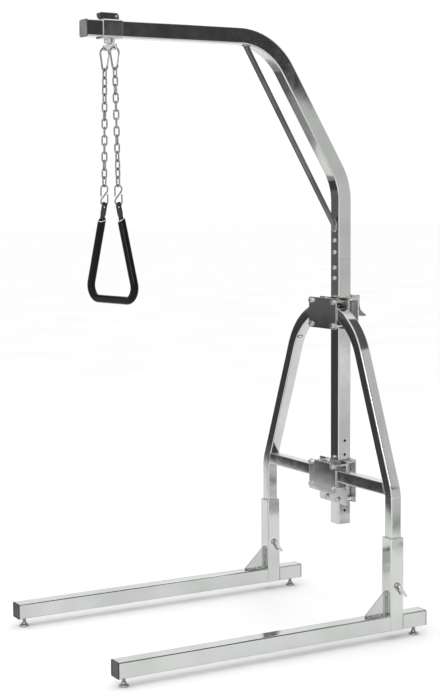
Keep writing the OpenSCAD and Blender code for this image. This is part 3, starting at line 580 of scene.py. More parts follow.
MATERIALS = {
    "chrome_tube": chrome("chrome_tube", (0.60, 0.615, 0.60), (0.53, 0.545, 0.53)),
    "chrome_plate": chrome("chrome_plate", (0.57, 0.585, 0.575), (0.50, 0.51, 0.50), 0.05, 0.1, 0.2),
    "zinc_hardware": zinc("zinc_hardware", (0.72, 0.72, 0.70), (0.55, 0.55, 0.54)),
    "bell_chrome": chrome("bell_chrome", (0.46, 0.45, 0.43), (0.34, 0.33, 0.32), 0.02, 0.08, 0.2),
    "black_plastic": moulded("black_plastic", (0.012, 0.012, 0.013), (0.022, 0.022, 0.023)),
    "black_lever": moulded("black_lever", (0.02, 0.021, 0.022), (0.045, 0.046, 0.047), 0.26, 0.42),
    "grey_lever": moulded("grey_lever", (0.17, 0.175, 0.17), (0.22, 0.225, 0.22), 0.3, 0.5),
    "liner_plastic": moulded("liner_plastic", (0.42, 0.43, 0.42), (0.5, 0.5, 0.48), 0.35, 0.5),
    "cap_plastic": moulded("cap_plastic", (0.13, 0.125, 0.115), (0.19, 0.18, 0.17), 0.3, 0.45),
    "pad_rubber": rubber("pad_rubber", (0.014, 0.014, 0.014)),
    "chain_steel": zinc("chain_steel", (0.36, 0.36, 0.34), (0.22, 0.22, 0.21), 300, 0.16, 0.3),
    "handle_steel": moulded("handle_steel", (0.01, 0.01, 0.01), (0.024, 0.023, 0.021), 0.3, 0.5, 0.02, 0.3),
    "grip_vinyl": vinyl("grip_vinyl", (0.003, 0.003, 0.003), (0.006, 0.006, 0.006)),
}
# Dark weld metal of the beads; on the screw bosses the same dark finish is painted shade round the screw
# heads.
BEAD_METAL_AND_SHADE = zinc("bead_metal_and_painted_shade", (0.46, 0.46, 0.44), (0.22, 0.22, 0.21), 700, 0.14, 0.3)
# Bright satin zinc: the rear plates' own plating, and a painted highlight on the bands at the grip's ends.
PLATING_AND_HIGHLIGHT = zinc("bright_zinc_and_painted_highlight", (0.80, 0.80, 0.78), (0.62, 0.62, 0.60), 500, 0.3, 0.5)
# Darker copy of the plate chrome: painted shade for the upper clamp's middle plate, shut in between the
# other plates.
UPPER_PLATE_PAINTED_SHADE = chrome("painted_shade_plate", (0.20, 0.205, 0.195), (0.12, 0.125, 0.12), 0.05, 0.12, 0.24)
# Much darker copy of the chrome: painted shade and dark reflections on the strut.
STRUT_PAINTED_SHADE = chrome("strut_painted_shade", (0.16, 0.16, 0.155), (0.09, 0.09, 0.088), 0.05, 0.12, 0.24)

# ---------------------------------------------------------------- base


def leg_cap(side, y_end, outward):
    """Cap pushed into a leg's end: a flange with a soft edge and a shallow dished panel."""
    at = place((side * LEG_X, y_end, LEG_MID), X * -outward, Z)
    steps = [(0, 0), (1.4, 0), (2.3, 0.3), (2.85, 1.2), (3.0, 2.0), (3.0, 6.0), (2.8, 6.6), (2.2, 7.2)]
    plug = [(-12, 4.6), (-12, 2.5), (-0.2, 2.3), (0, 2.3)]
    return Solid(at).add(stepped_block(LEG_TUBE, LEG_TUBE, plug + steps, 0.6))


def build_legs():
    half = LEG_TUBE / 2
    for name, side in SIDES.items():
        x = side * LEG_X
        for part, *ends in (("leg_tube", (x, -half, LEG_MID), (x, LEG_FRONT, LEG_MID)),
                            ("rear_tube", (x, half, LEG_MID), (x, LEG_REAR, LEG_MID)),
                            ("socket", (x, 0, LEG_LOW), (x, 0, SOCKET_TOP))):
            solid = Solid().add(square_tube(bent_path(ends, [], X), LEG_TUBE, LEG_TUBE))
            node_piece(f"{name}_{part}", solid, "chrome_tube", "stand")
    for part, y_end, outward in (("leg_front_caps", LEG_FRONT, -1), ("leg_rear_caps", LEG_REAR, 1)):
        for name, side in SIDES.items():
            piece(f"v_{part}_{name}", leg_cap(side, y_end, outward), "black_plastic", "stand", part)


def build_gussets():
    """Gusset plates, with weld beads along both of their welded edges and round the leg joints."""
    thick, tip, tall, long = 4, 6, 68, 72
    edge_bead_r, joint_bead_r = 3.2, 1.25
    face = -LEG_TUBE / 2
    outline = fillet([(face, LEG_HIGH, 0), (face, LEG_HIGH + tall, 0), (face - tip, LEG_HIGH + tall, 2.5),
                      (face - long, LEG_HIGH + tip, 2.5), (face - long, LEG_HIGH, 0)])
    for name, side in SIDES.items():
        at = place((side * LEG_X - thick / 2, 0, 0), Y, Z)
        plate = Solid(at).add(prism(outline, thick, edge=0.7))
        node_piece(f"{name}_gusset", plate, "chrome_plate", "stand")
        welds = Solid()
        for flank in (-1, 1):
            x = side * LEG_X + flank * thick / 2
            welds.add(bead([(x, face - long + 4, LEG_HIGH), (x, face - 1, LEG_HIGH),
                            (x, face, LEG_HIGH + 1), (x, face, LEG_HIGH + tall - 3)],
                           edge_bead_r, closed=False, seed=flank + side * 3, pitch=3.8))
        for y in (face, -face):
            loop = rounded(LEG_TUBE - 3, LEG_TUBE - 3, CORNER_R, 3)
            joint = [(side * LEG_X + u, y, LEG_MID + v) for u, v in loop]
            welds.add(bead(joint, joint_bead_r, seed=y + side))
        piece(f"v_{name}_leg_welds", welds, "chrome_plate", "stand", finish=BEAD_METAL_AND_SHADE)


def build_glides():
    places = {"front": LEG_FRONT + 23, "rear": LEG_REAR - 27}
    neck, top = 13, 46
    bell = [(0, 0.4), (11, 0.4), (12.4, 0), (13.4, 0.2), (14, 0.9), (14, 2.6), (13.7, 3.4)]
    bell += [(12.6, 5.1), (10.6, 6.6), (8.7, 7.7), (7.7, 9.0), (7.2, 10.6), (7, 11.6), (6.4, 12.3)]
    for end, y in places.items():
        for name, side in SIDES.items():
            solid = Solid(shift(side * LEG_X, y, 0))
            solid.add(lathe(bell + thread(5, neck, top, 1.5, 0.55)))
            glide = f"glide_{end}_{name}"
            node_piece(glide, solid, "bell_chrome", glide)
    inserts = Solid()
    for y in places.values():
        for side in SIDES.values():
            ring = lathe([(5.05, 0.3), (5.6, -0.6), (7.5, -0.6), (7.9, -0.2), (7.9, 14), (5.05, 14)])
            inserts.add(ring, shift(side * LEG_X, y, LEG_LOW))
    node_piece("glide_nuts", inserts, "zinc_hardware", "stand")


def build_lock_screws():
    """Bosses on the sockets' outer sides and the L-shaped screws in them."""
    z, r, boss_r, boss_t, reach, bend, arm = 154, 4, 9, 5, 35.25, 7, 27
    rod_start, thread_start, thread_end = 17.3, 18.4, 28.5
    tilt = math.radians(-90 - 54)
    bosses, welds = Solid(), Solid()
    for name, side in SIDES.items():
        at = place((side * LEG_X + LEG_TUBE / 2, 0, z), Y, Z)
        profile = [(r + 0.05, 0), (boss_r, 0), (boss_r, boss_t - 1), (boss_r - 1, boss_t)]
        bosses.add(lathe(profile + [(r + 0.8, boss_t), (r + 0.05, boss_t - 0.8)]), at)
        rim = [at @ Vector((u, v, 0.4)) for u, v in circle(boss_r, 32)]
        welds.add(bead(rim, 1.1, seed=side))
        down = Matrix.Rotation(tilt, 4, "X")
        corners = [(rod_start, 0, 0), (reach, 0, 0), (reach, 0, bend + arm)]
        path = bent_path(corners, [bend], -Y, step=9)
        screw = Solid(shift(side * LEG_X, 0, z) @ down)
        screw.add(wire([s.point for s in path], r - 0.02, -Y, steps=22))
        screw.at = place((side * LEG_X, 0, z), Y, Z)
        ridges = thread(r, thread_start, thread_end, 1.25, 0.4)[1:-1]
        screw.add(lathe([(0, thread_start - 0.4)] + ridges + [(0, thread_end + 0.4)]))
        node_piece(f"{name}_lock_screw", screw, "zinc_hardware", f"{name}_lock_screw")
    # The bosses take the dark weld finish as painted shade round the screw heads.
    node_piece("screw_bosses", bosses, "zinc_hardware", "stand", finish=BEAD_METAL_AND_SHADE)
    piece("v_boss_welds", welds, "zinc_hardware", "stand", finish=BEAD_METAL_AND_SHADE)


def build_liners():
    lip, depth = 2, 25
    inside, outside, flange = FRAME_TUBE + 0.2, LEG_TUBE - 2 * WALL - 0.2, LEG_TUBE - 1
    levels = [(outside, 2, -depth), (outside, 2, 0), (flange, 3.5, 0), (flange, 3.5, lip - 0.7),
              (flange - 0.6, 3.2, lip - 0.2), (flange - 1.4, 3, lip), (inside + 1.2, CORNER_R, lip),
              (inside, CORNER_R, lip - 0.7), (inside, CORNER_R, -depth)]
    solid = Solid()
    for side in SIDES.values():
        rings = [[(u, v, z) for u, v in rounded(w, w, r)] for w, r, z in levels]
        solid.add(skin(rings, wrap=True), shift(side * LEG_X, 0, SOCKET_TOP))
    node_piece("socket_liners", solid, "liner_plastic", "stand")


# ---------------------------------------------------------------- A-frame


def slope_x(z, offset):
    """Where the right slope's line, moved outwards by offset, is at height z."""
    return LEG_X - (z - KNEE_Z) * math.tan(FRAME_LEAN) + offset / math.cos(FRAME_LEAN)


def build_a_frame():
    apex = KNEE_Z + LEG_X / math.tan(FRAME_LEAN)
    corners = [(-LEG_X, 0, FRAME_FOOT), (-LEG_X, 0, KNEE_Z), (0, 0, apex), (LEG_X, 0, KNEE_Z),
               (LEG_X, 0, FRAME_FOOT)]
    path = bent_path(corners, [KNEE_R, ARCH_R, KNEE_R], Y, step=2.5)
    node_piece("a_frame", Solid().add(square_tube(path, FRAME_TUBE, FRAME_TUBE)), "chrome_tube", "stand")

    section = rounded(FRAME_TUBE, FRAME_TUBE, CORNER_R)
    hollow = rounded(FRAME_TUBE - 2 * WALL, FRAME_TUBE - 2 * WALL, CORNER_R - WALL)

    def end_ring(loop, side, deeper=0.8):
        """The crossbar's end section, cut to the slope's inner face and `deeper` beyond it."""
        return [(side * (slope_x(CROSSBAR_Z + v, -FRAME_TUBE / 2) + deeper), u, CROSSBAR_Z + v)
                for u, v in loop]

    rings = [end_ring(section, -1), end_ring(section, 1), end_ring(hollow, 1), end_ring(hollow, -1)]
    node_piece("crossbar", Solid().add(skin(rings, wrap=True)), "chrome_tube", "stand")
    welds = Solid()
    seam = rounded(FRAME_TUBE - 0.8, FRAME_TUBE - 0.8, CORNER_R, 3)
    for side in SIDES.values():
        welds.add(bead(end_ring(seam, side, -0.2), 1.5, seed=side))
    piece("v_crossbar_welds", welds, "chrome_tube", "stand", finish=BEAD_METAL_AND_SHADE)

    # Oval mark on the inside of the left bend, below the upper clamp, built as a plain plug; its black rim
    # is partly the mark's dark edge and partly painted shade of a hole's rim.
    bend_z, inner_r, plug_z = apex - ARCH_R / math.sin(FRAME_LEAN), ARCH_R - FRAME_TUBE / 2, 822
    rise = math.asin((plug_z - bend_z) / inner_r)
    spot = (-inner_r * math.cos(rise), -6, plug_z)
    along = Vector((-math.sin(rise), 0, -math.cos(rise)))
    oval = place(spot, along, Y) @ Matrix.Diagonal((1, 1.65, 1, 1))
    rim = lathe([(0, -0.6), (6.3, -0.6), (6.3, 0.3), (5.7, 0.8), (4.2, 0.8), (4.0, 0.4), (0, 0.4)])
    centre = lathe([(0, 0.1), (3.9, 0.1), (3.9, 0.6), (3.5, 0.8), (0, 0.9)])
    piece("v_frame_plug", Solid(oval).add(rim), "black_plastic", "stand")
    piece("v_frame_plug_centre", Solid(oval).add(centre), "zinc_hardware", "stand")


# ---------------------------------------------------------------- clamps

FRAME_BOLT_X = 57
MAST_BOLT_X = MAST_W / 2 + SPACER_GAP + SPACER_R
UPPER_FRAME_Z, UPPER_MAST_Z = (868, 938), (864, 940)
LOWER_FRAME_Z, LOWER_MAST_Z = (385, 452), (346, 455)
PIN_Y, PIN_Z = middle("lever_pin").y, middle("lever_pin").z


def lever_window(up):
    """Opening that the clamp lever's pad works through, its centre `up` above the plate's."""
    return [(u, v + up) for u, v in reversed(rounded(21, 17, 1.5, 3))]


def clamp_plate(node, holes, windowed=False, finish=None):
    """A drilled plate from its CAD node's box, seen from the front with its corners rounded."""
    low, high = box(node)
    centre = (low + high) / 2
    outline = rounded(high.x - low.x, high.z - low.z, PLATE_R)
    cuts = [hole(sx * x, z - centre.z, BOLT_HOLE_R) for x, heights in holes for z in heights
            for sx in (-1, 1)]
    if windowed:
        cuts.append(lever_window(PIN_Z - centre.z))
    at = place((centre.x, high.y, centre.z), X, Z)
    solid = Solid(at).add(prism(outline, high.y - low.y, cuts, edge=0.7))
    node_piece(node, solid, "chrome_plate", "stand", finish=finish)


def bolt_shape(head_y, end_y, with_washer):
    """Hex bolt along +Y: chamfered head, washer if wanted, and a shank with a threaded end."""
    front = place((0, head_y, 0), X, Z)
    solid = Solid()
    offset = WASHER_T if with_washer else 0
    if with_washer:
        solid.add(disc(WASHER_R, 0, WASHER_T, 0.3, BOLT_R), front)
    solid.add(hex_prism(BOLT_AF, HEAD_H), front @ shift(0, 0, offset))
    back = place((0, 0, 0), Z, X)
    smooth = end_y - 12
    shank = [(0, head_y - 0.5), (BOLT_R - 0.05, head_y - 0.5), (BOLT_R - 0.05, smooth)]
    solid.add(lathe(shank + thread(BOLT_R, smooth, end_y)[1:], 24), back)
    return solid.points, solid.faces


def build_clamps():
    # The upper clamp's middle plate takes the darker chrome as painted shade; the lower one keeps the plain
    # plate chrome.
    for clamp, frame_z, mast_z, middle_painted_shade in (("upper", UPPER_FRAME_Z, UPPER_MAST_Z, UPPER_PLATE_PAINTED_SHADE),
                                                  ("lower", LOWER_FRAME_Z, LOWER_MAST_Z, None)):
        frame_holes, mast_holes = (FRAME_BOLT_X, frame_z), (MAST_BOLT_X, mast_z)
        clamp_plate(f"{clamp}_front_plate", [frame_holes])
        clamp_plate(f"{clamp}_middle_plate", [frame_holes, mast_holes], finish=middle_painted_shade)
        clamp_plate(f"{clamp}_rear_plate", [mast_holes], clamp == "upper", PLATING_AND_HIGHLIGHT)

    front_face = box("upper_front_plate")[0].y
    middle_front, middle_back = (corner.y for corner in box("upper_middle_plate"))
    rear_face = box("upper_rear_plate")[1].y
    frame_spots = [(sx * FRAME_BOLT_X, z) for z in UPPER_FRAME_Z + LOWER_FRAME_Z for sx in (-1, 1)]
    mast_spots = [(sx * MAST_BOLT_X, z) for z in UPPER_MAST_Z + LOWER_MAST_Z for sx in (-1, 1)]
    groups = {"frame": (frame_spots, front_face, middle_back, True),
              "mast": (mast_spots, middle_front, rear_face, False)}
    for kind, (spots, head_y, nut_y, with_washer) in groups.items():
        bolts, nuts = Solid(), Solid()
        for i, (x, z) in enumerate(spots):
            turned = shift(x, 0, z) @ Matrix.Rotation(math.radians(17 * i), 4, "Y")
            bolts.add(bolt_shape(head_y, nut_y + NUT_H + 3, with_washer), turned)
            nuts.add(hex_prism(BOLT_AF, NUT_H, BOLT_R), turned @ place((0, nut_y, 0), Z, X))
        node_piece(f"{kind}_bolts", bolts, "zinc_hardware", "stand", sharp=30)
        node_piece(f"{kind}_nuts", nuts, "zinc_hardware", "stand", sharp=30)
    spacers = Solid()
    length = box("mast_spacers")[1].y - middle_back
    for x, z in mast_spots:
        spacers.add(disc(SPACER_R, 0, length, 0.5, BOLT_HOLE_R), place((x, middle_back, z), Z, X))
    node_piece("mast_spacers", spacers, "zinc_hardware", "stand")


def build_clamp_lever():
    """Bracket with two ears, the cam lever on its pin, and the rubber pad that it presses."""
    low, high = box("lever_bracket")
    ear_t, base_t, round_r = 3, 2.5, 8
    base_y = low.y
    outline = fillet([(base_y, low.z, 0), (high.y, low.z, round_r), (high.y, high.z, round_r),
                      (base_y, high.z, 0)])
    ear = prism(outline, ear_t, [hole(PIN_Y, PIN_Z, 3)], edge=0.6)
    bracket = Solid()
    for x in (low.x, high.x - ear_t):
        bracket.add(ear, place((x, 0, 0), Y, Z))
    mid_z = (low.z + high.z) / 2
    back = rounded(high.x - low.x - 0.2, high.z - low.z, 1.5, 3)
    bracket.add(prism(back, base_t, [lever_window(PIN_Z - mid_z)], edge=0.5),
                place((0, base_y + base_t, mid_z), X, Z))
    node_piece("lever_bracket", bracket, "chrome_plate", "stand")

    reach = high.x
    pin = [(0, -reach - 2), (2.4, -reach - 2), (3, -reach - 1.4), (3, reach), (5, reach), (5, reach + 1.2),
           (4.2, reach + 2), (0, reach + 2)]
    pin_at = place((0, PIN_Y, PIN_Z), Y, Z)
    node_piece("lever_pin", Solid(pin_at).add(lathe(pin)), "zinc_hardware", "stand")

    width, hub, lobe = 24, 7, 2
    body = fillet([(0, -hub, 0), (6, -26, 10), (13, -42, 12), (25, -56, 6), (39.5, -56, 2), (40, -51, 2),
                   (30, -45, 8), (21, -36, 10), (17, -24, 12), (16.4, -8, 10), (17, 6.5, 2), (15, 8.5, 2),
                   (8, 8.5, 3), (0, hub, 0)])
    at = place((-width / 2, PIN_Y, PIN_Z), Y, Z)
    lever = Solid(at).add(prism(body, width, edge=1.4))
    lever.add(disc(hub, 0, width, 1))
    lever.add(disc(hub, 2, width - 2, 0.8), shift(-lobe, 0, 0))
    dig = Solid(at)
    side_panel = fillet([(7, -24, 3), (13.5, -38, 4), (18.5, -36, 2), (14, -24, 6), (13.2, -10, 2),
                         (9, -10, 2)])
    for z in (-1, width - 1.2):
        dig.add(prism(side_panel, 2.2, edge=0.3), shift(0, 0, z))
    node_piece("clamp_lever", lever, "grey_lever", "clamp_lever", cutter=dig, sharp=50)

    low, high = box("brake_pad")
    size = high - low
    pad = Solid(place(((low.x + high.x) / 2, high.y, (low.z + high.z) / 2), X, Z))
    pad.add(prism(rounded(size.x, size.z, 2), size.y, edge=0.8))
    node_piece("brake_pad", pad, "pad_rubber", "brake_pad")


# ---------------------------------------------------------------- mast and boom


def domed_screws(node, heights, head_r, shank_r):
    """Pan-head screws with a cross recess, on the mast's front face."""
    head_t, shank = 4.5, 8
    screws, recesses = Solid(), Solid()
    dome = [(0, -shank), (shank_r, -shank), (shank_r, 0), (head_r, 0), (head_r, head_t * 0.32)]
    for k in range(1, 8):
        a = math.radians(90 * k / 7)
        dome.append((head_r * math.cos(a), head_t * (0.32 + 0.68 * math.sin(a))))
    dome[-1] = (0, head_t)
    for i, z in enumerate(heights):
        at = place((0, MAST_FRONT, z), X, Z) @ Matrix.Rotation(math.radians(31 * i), 4, "Z")
        screws.add(lathe(dome), at)
        # The crossing slots differ a little in depth, so that the cutter has no doubled face.
        for turn, depth in ((0, 1.8), (90, 1.71)):
            slot = prism(rounded(head_r * 1.05, 1.4, 0.4, 2), 4, edge=0.1)
            recesses.add(slot, at @ Matrix.Rotation(math.radians(turn), 4, "Z") @
                         shift(0, 0, head_t - depth))
    node_piece(node, screws, "zinc_hardware", "mast", cutter=recesses, sharp=35)


def build_mast():
    first_hole, pitch, holes, hole_r = 308, 42.2, 6, 4.25
    splice_heights, stop_height = (1004, 1035, 1081, 1116), 469.3
    path = bent_path([(0, MAST_Y, MAST_LO.z), (0, MAST_Y, SPLICE_Z)], [], X)
    drills = Solid()
    for i in range(holes):
        at = place((-MAST_W, MAST_Y, first_hole + i * pitch), Y, Z)
        drills.add(drill(hole_r, 2 * MAST_W, 28), at)
    mast = Solid().add(square_tube(path, MAST_W, MAST_D))
    node_piece("mast_tube", mast, "chrome_tube", "mast", cutter=drills)
    domed_screws("splice_screws", splice_heights, 6.5, 3)
    domed_screws("stop_screw", (stop_height,), 5, 3)


def build_boom():
    corners = [(0, MAST_Y, SPLICE_Z), (0, MAST_Y, MAST_KNEE_Z), (0, BOOM_KNEE_Y, BOOM_Z),
               (0, BOOM_FRONT, BOOM_Z)]
    path = bent_path(corners, [BEND_R, BEND_R], X, step=2.0)
    node_piece("boom_tube", Solid().add(square_tube(path, MAST_W, MAST_D)), "chrome_tube", "mast")

    front = place((0, BOOM_FRONT, BOOM_Z), X, Z)
    levels = [(-16, 4.6), (-16, 2.1), (0, 2.1), (0, -0.6), (0.3, -1), (1.2, -1), (1.5, -0.7), (1.5, 3)]
    seam = Solid(front).add(stepped_block(MAST_W, MAST_D, levels, 1))
    piece("v_boom_cap_seam", seam, "black_plastic", "mast", "boom_cap")
    levels = [(1.5, 0.3), (3.4, 0.1), (4.1, 0.6), (4.4, 1.4), (4.5, 2.4), (4.5, 7), (4.3, 7.6), (4.0, 8.4)]
    face = Solid(front).add(stepped_block(MAST_W, MAST_D, levels, 1))
    piece("v_boom_cap_face", face, "cap_plastic", "mast")


def build_strut():
    """Round strut, its ends cut to the boom's underside and the mast's front, with weld beads there."""
    r, wall, top_y, foot_z = 8, 1.5, -281, 1157
    top = Vector((0, top_y, BOOM_Z - MAST_D / 2))
    foot = Vector((0, MAST_FRONT, foot_z))
    elbow_y = BOOM_KNEE_Y - BEND_R * math.tan((math.pi / 2 - BOOM_LEAN) / 2)
    elbow_z = BOOM_Z - BEND_R
    axis = (top - foot).normalized()
    station = Station(foot, axis, X)

    def cut_at(loop, plane_point, plane_normal):
        """The strut's section where it meets a plane."""
        ring = station.ring(loop)
        return [p + axis * (plane_point - p).dot(plane_normal) / axis.dot(plane_normal) for p in ring]

    def under_elbow(loop, deeper):
        """The strut's section where it meets the underside of the boom's bend, and `deeper` beyond."""
        reach = BEND_R - MAST_D / 2 + deeper
        ring = []
        for p in cut_at(loop, top, Z):
            surface_z = elbow_z + math.sqrt(reach ** 2 - (p.y - elbow_y) ** 2)
            ring.append(p + axis * (surface_z - p.z) / axis.z)
        return ring

    outer, inner = circle(r, 36), circle(r - wall, 36)
    rings = [cut_at(outer, foot + Y * 0.5, Y), under_elbow(outer, 0.5), under_elbow(inner, 0.5),
             cut_at(inner, foot + Y * 0.5, Y)]
    # The strut's chrome is painted dark: painted shade and dark reflections.
    node_piece("strut", Solid().add(skin(rings, wrap=True)), "chrome_tube", "mast", finish=STRUT_PAINTED_SHADE)
    welds = Solid()
    near = circle(r + 0.3, 40)
    welds.add(bead(cut_at(near, foot - Y * 0.4, Y), 2.6, seed=1))
    welds.add(bead(under_elbow(near, -0.4), 1.8, seed=5))
    piece("v_strut_welds", welds, "chrome_tube", "mast", finish=BEAD_METAL_AND_SHADE)


# ---------------------------------------------------------------- trapeze carrier

CARRIER_Y = middle("collar").y
COLLAR_LO, COLLAR_HI = box("collar")
COLLAR_W = COLLAR_HI.x - COLLAR_LO.x
COLLAR_H = 2 * (BOOM_Z - COLLAR_LO.z)
COLLAR_TOP = BOOM_Z + COLLAR_H / 2
TOP_PIN_Y, TOP_PIN_UP = 17, 8


def build_collar():
    length, bore_r = COLLAR_HI.y - COLLAR_LO.y, 6.05
    path = [Station((0, y, BOOM_Z), -Y, X) for y in (CARRIER_Y + length / 2, CARRIER_Y - length / 2)]
    sleeve = Solid().add(square_tube(path, COLLAR_W, COLLAR_H, wall=3, r=7, edge=0.9))
    ear = oblong(TOP_PIN_Y - 6, -1, TOP_PIN_Y + 6, TOP_PIN_UP + 6, 0, 5.9)
    ear_t = 3
    for x in (-14.3, 14.3 - ear_t):
        at = place((x, CARRIER_Y, COLLAR_TOP), Y, Z)
        sleeve.add(prism(ear, ear_t, [hole(TOP_PIN_Y, TOP_PIN_UP, 2)], edge=0.5), at)
    shoe_hole = Solid(shift(0, CARRIER_Y, COLLAR_TOP - 5)).add(drill(bore_r, 8))
    node_piece("collar", sleeve, "chrome_plate", "collar", cutter=shoe_hole)

    pin = [(0, -15.3), (1.6, -15.3), (2, -14.9), (2, 14.3), (3.5, 14.3), (3.5, 15.3), (3, 15.8), (0, 15.8)]
    at = place((0, CARRIER_Y + TOP_PIN_Y, COLLAR_TOP + TOP_PIN_UP), Y, Z)
    node_piece("collar_lever_pin", Solid(at).add(lathe(pin)), "zinc_hardware", "collar")

    shoe = Solid(shift(0, CARRIER_Y, box("collar_shoe")[0].z)).add(disc(6, 0, 3, 0.5))
    node_piece("collar_shoe", shoe, "pad_rubber", "collar_shoe")

    cup_lo, cup_hi = box("swivel_housing")
    tall = cup_hi.z - cup_lo.z
    cup = [(bore_r, 3), (bore_r, 0.5), (6.6, 0), (13.6, 0), (14.6, 0.5), (15, 1.6), (15, tall), (11, tall),
           (11, tall - 3), (11, 3)]
    housing = Solid(shift(0, CARRIER_Y, cup_lo.z)).add(lathe(cup, 44))
    node_piece("swivel_housing", housing, "chrome_plate", "collar")


def build_collar_lever():
    """Black lock lever with a rib-marked panel on each side and finger ridges on top."""
    front, rear, width, z0 = -33, 24, 22, 0.3
    outline = fillet([(front + 3, z0 + 3, 1.5), (front + 10, z0, 4), (rear - 6, z0, 3), (rear, z0 + 5, 3),
                      (rear - 2, z0 + 14, 2.5), (rear - 5, z0 + 17, 2), (front + 5, z0 + 17.5, 2.5),
                      (front + 1, z0 + 15.5, 1.5), (front, z0 + 12, 2.5)])
    at = place((-width / 2, CARRIER_Y, COLLAR_TOP), Y, Z)
    body = Solid(at).add(prism(outline, width, edge=1.2))
    panels = Solid(at)
    panel = oblong(front + 6, z0 + 4.5, rear - 18, z0 + 14, 2, 2)
    for z in (-1, width - 0.7):
        panels.add(prism(panel, 1.7, edge=0.2), shift(0, 0, z))
    for i in range(5):
        groove = shift(front + 9 + 6 * i, z0 + 18.1 - i * 0.08, 3)
        panels.add(prism(circle(1.1, 16), width - 6, edge=0.2), groove)
    node_piece("collar_lever", body, "black_lever", "collar_lever", cutter=panels, sharp=50)
    ribs = Solid(at)
    for i in range(7):
        y = front + 9 + 4.2 * i
        rib = [(u + y, v + z0 + 9.3) for u, v in rounded(1.5, 7, 0.6, 3)]
        for z in (0.25, width - 1.05):
            ribs.add(prism(rib, 0.8, edge=0.25), shift(0, 0, z))
    piece("v_collar_lever_ribs", ribs, "black_lever", "collar_lever")


# ---------------------------------------------------------------- trapeze

HANGER_LO, HANGER_HI = box("hanger_plate")
TRAPEZE_TURN = math.radians(10)
HANGER_SPAN, HANDLE_SPAN = 44, 66.5
HANGER_HOLE_Z, HANDLE_HOLE_Z = 1646.4, 1220.15
STRAND_LEAN = math.atan((HANDLE_SPAN - HANGER_SPAN) / 2 / (HANGER_HOLE_Z - HANDLE_HOLE_Z))
TRAPEZE = shift(0, CARRIER_Y, 0) @ Matrix.Rotation(TRAPEZE_TURN, 4, "Z")


def strand(side):
    """Frame of one hanging strand: heights as at rest, leaning outwards from its hole in the hanger."""
    hang = shift(side * HANGER_SPAN / 2, 0, HANGER_HOLE_Z)
    lean = Matrix.Rotation(-side * STRAND_LEAN, 4, "Y")
    return TRAPEZE @ hang @ lean @ shift(0, 0, -HANGER_HOLE_Z)


def build_hanger():
    plate_low = HANGER_LO.z
    housing_h, gap = 12, 2
    plate_top = COLLAR_LO.z - housing_h - gap
    head_top = HANGER_HI.z
    outline = rounded(HANGER_SPAN + 20, plate_top - plate_low, 6)
    mid = (plate_low + plate_top) / 2
    bores = [hole(sx * HANGER_SPAN / 2, HANGER_HOLE_Z - mid, 4.5) for sx in (-1, 1)]
    solid = Solid(TRAPEZE)
    solid.add(prism(outline, 4, bores, edge=0.7), place((0, 2, mid), X, Z))
    stem = [(0, plate_top - 4), (5.6, plate_top - 4), (6, plate_top - 3.4), (6, head_top - 4),
            (10, head_top - 4), (10, head_top - 1), (9, head_top), (0, head_top)]
    solid.add(lathe(stem))
    node_piece("hanger_plate", solid, "zinc_hardware", "hanger")
    weld = Solid(TRAPEZE)
    weld.add(bead([(u, v, plate_top) for u, v in circle(5.8, 24)], 1.0, seed=2))
    piece("v_hanger_weld", weld, "zinc_hardware", "hanger", finish=BEAD_METAL_AND_SHADE)


HOOK = {"wire": 2.75, "top_r": 14.25, "foot_r": 7.5, "top_z": 1631.0, "drop": 38}
HOOK_LEAN = math.asin((HOOK["top_r"] - HOOK["foot_r"]) / HOOK["drop"])


def yz(loop):
    return [(0, y, z) for y, z in loop]


def build_hooks():
    """Pear-shaped snap hooks with a sprung gate on one side."""
    lean_deg = math.degrees(HOOK_LEAN)
    foot_z = HOOK["top_z"] - HOOK["drop"]
    side_len = HOOK["drop"] * math.cos(HOOK_LEAN)
    gate_foot = (HOOK["foot_r"] * math.cos(HOOK_LEAN), foot_z - HOOK["foot_r"] * math.sin(HOOK_LEAN))
    run = (math.sin(HOOK_LEAN), math.cos(HOOK_LEAN))
    cheek, pivot, gate_r = 6, 3, 2.15

    def on_gate(along):
        return (gate_foot[0] + run[0] * along, gate_foot[1] + run[1] * along)

    for name, side in SIDES.items():
        hook = Solid(strand(side))
        route = arc(0, HOOK["top_z"], HOOK["top_r"], 2 - lean_deg, 180 + lean_deg, 26)
        route += arc(0, foot_z, HOOK["foot_r"], 180 + lean_deg, 360 - lean_deg, 14)
        route.append(on_gate(1.2))
        hook.add(wire(yz(route), HOOK["wire"], X, steps=18))
        axis = shift(0, *gate_foot) @ Matrix.Rotation(-HOOK_LEAN, 4, "X")
        for x in (-2.3, 2.3):
            cheek_plate = prism(oblong(-2.2, 0.6, 2.2, cheek, 0.5, 2), 1.3, edge=0.3)
            hook.add(cheek_plate, axis @ place((x - 0.65, 0, 0), Y, Z))
        pin = [(0, -3.3), (1.2, -3.3), (1.5, -2.9), (1.5, 2.9), (1.2, 3.3), (0, 3.3)]
        hook.add(lathe(pin, 16), axis @ place((0, 0, pivot), Y, Z))
        node_piece(f"hook_{name}", hook, "chain_steel", f"hook_{name}")
        gate = Solid(strand(side))
        start, end = on_gate(cheek + 1.2), on_gate(side_len - 0.8)
        halfway = ((start[0] + end[0]) / 2, (start[1] + end[1]) / 2)
        gate.add(wire(yz([start, halfway, end]), gate_r, X, steps=18))
        tongue = fillet([(-2, 1.2, 1.2), (2, 1.2, 1.2), (1.9, cheek + 2.5, 0.8), (-1.9, cheek + 2.5, 0.8)])
        gate.add(prism(tongue, 2.4, edge=0.3), axis @ place((-1.2, 0, 0), Y, Z))
        node_piece(f"gate_{name}", gate, "chain_steel", f"gate_{name}")


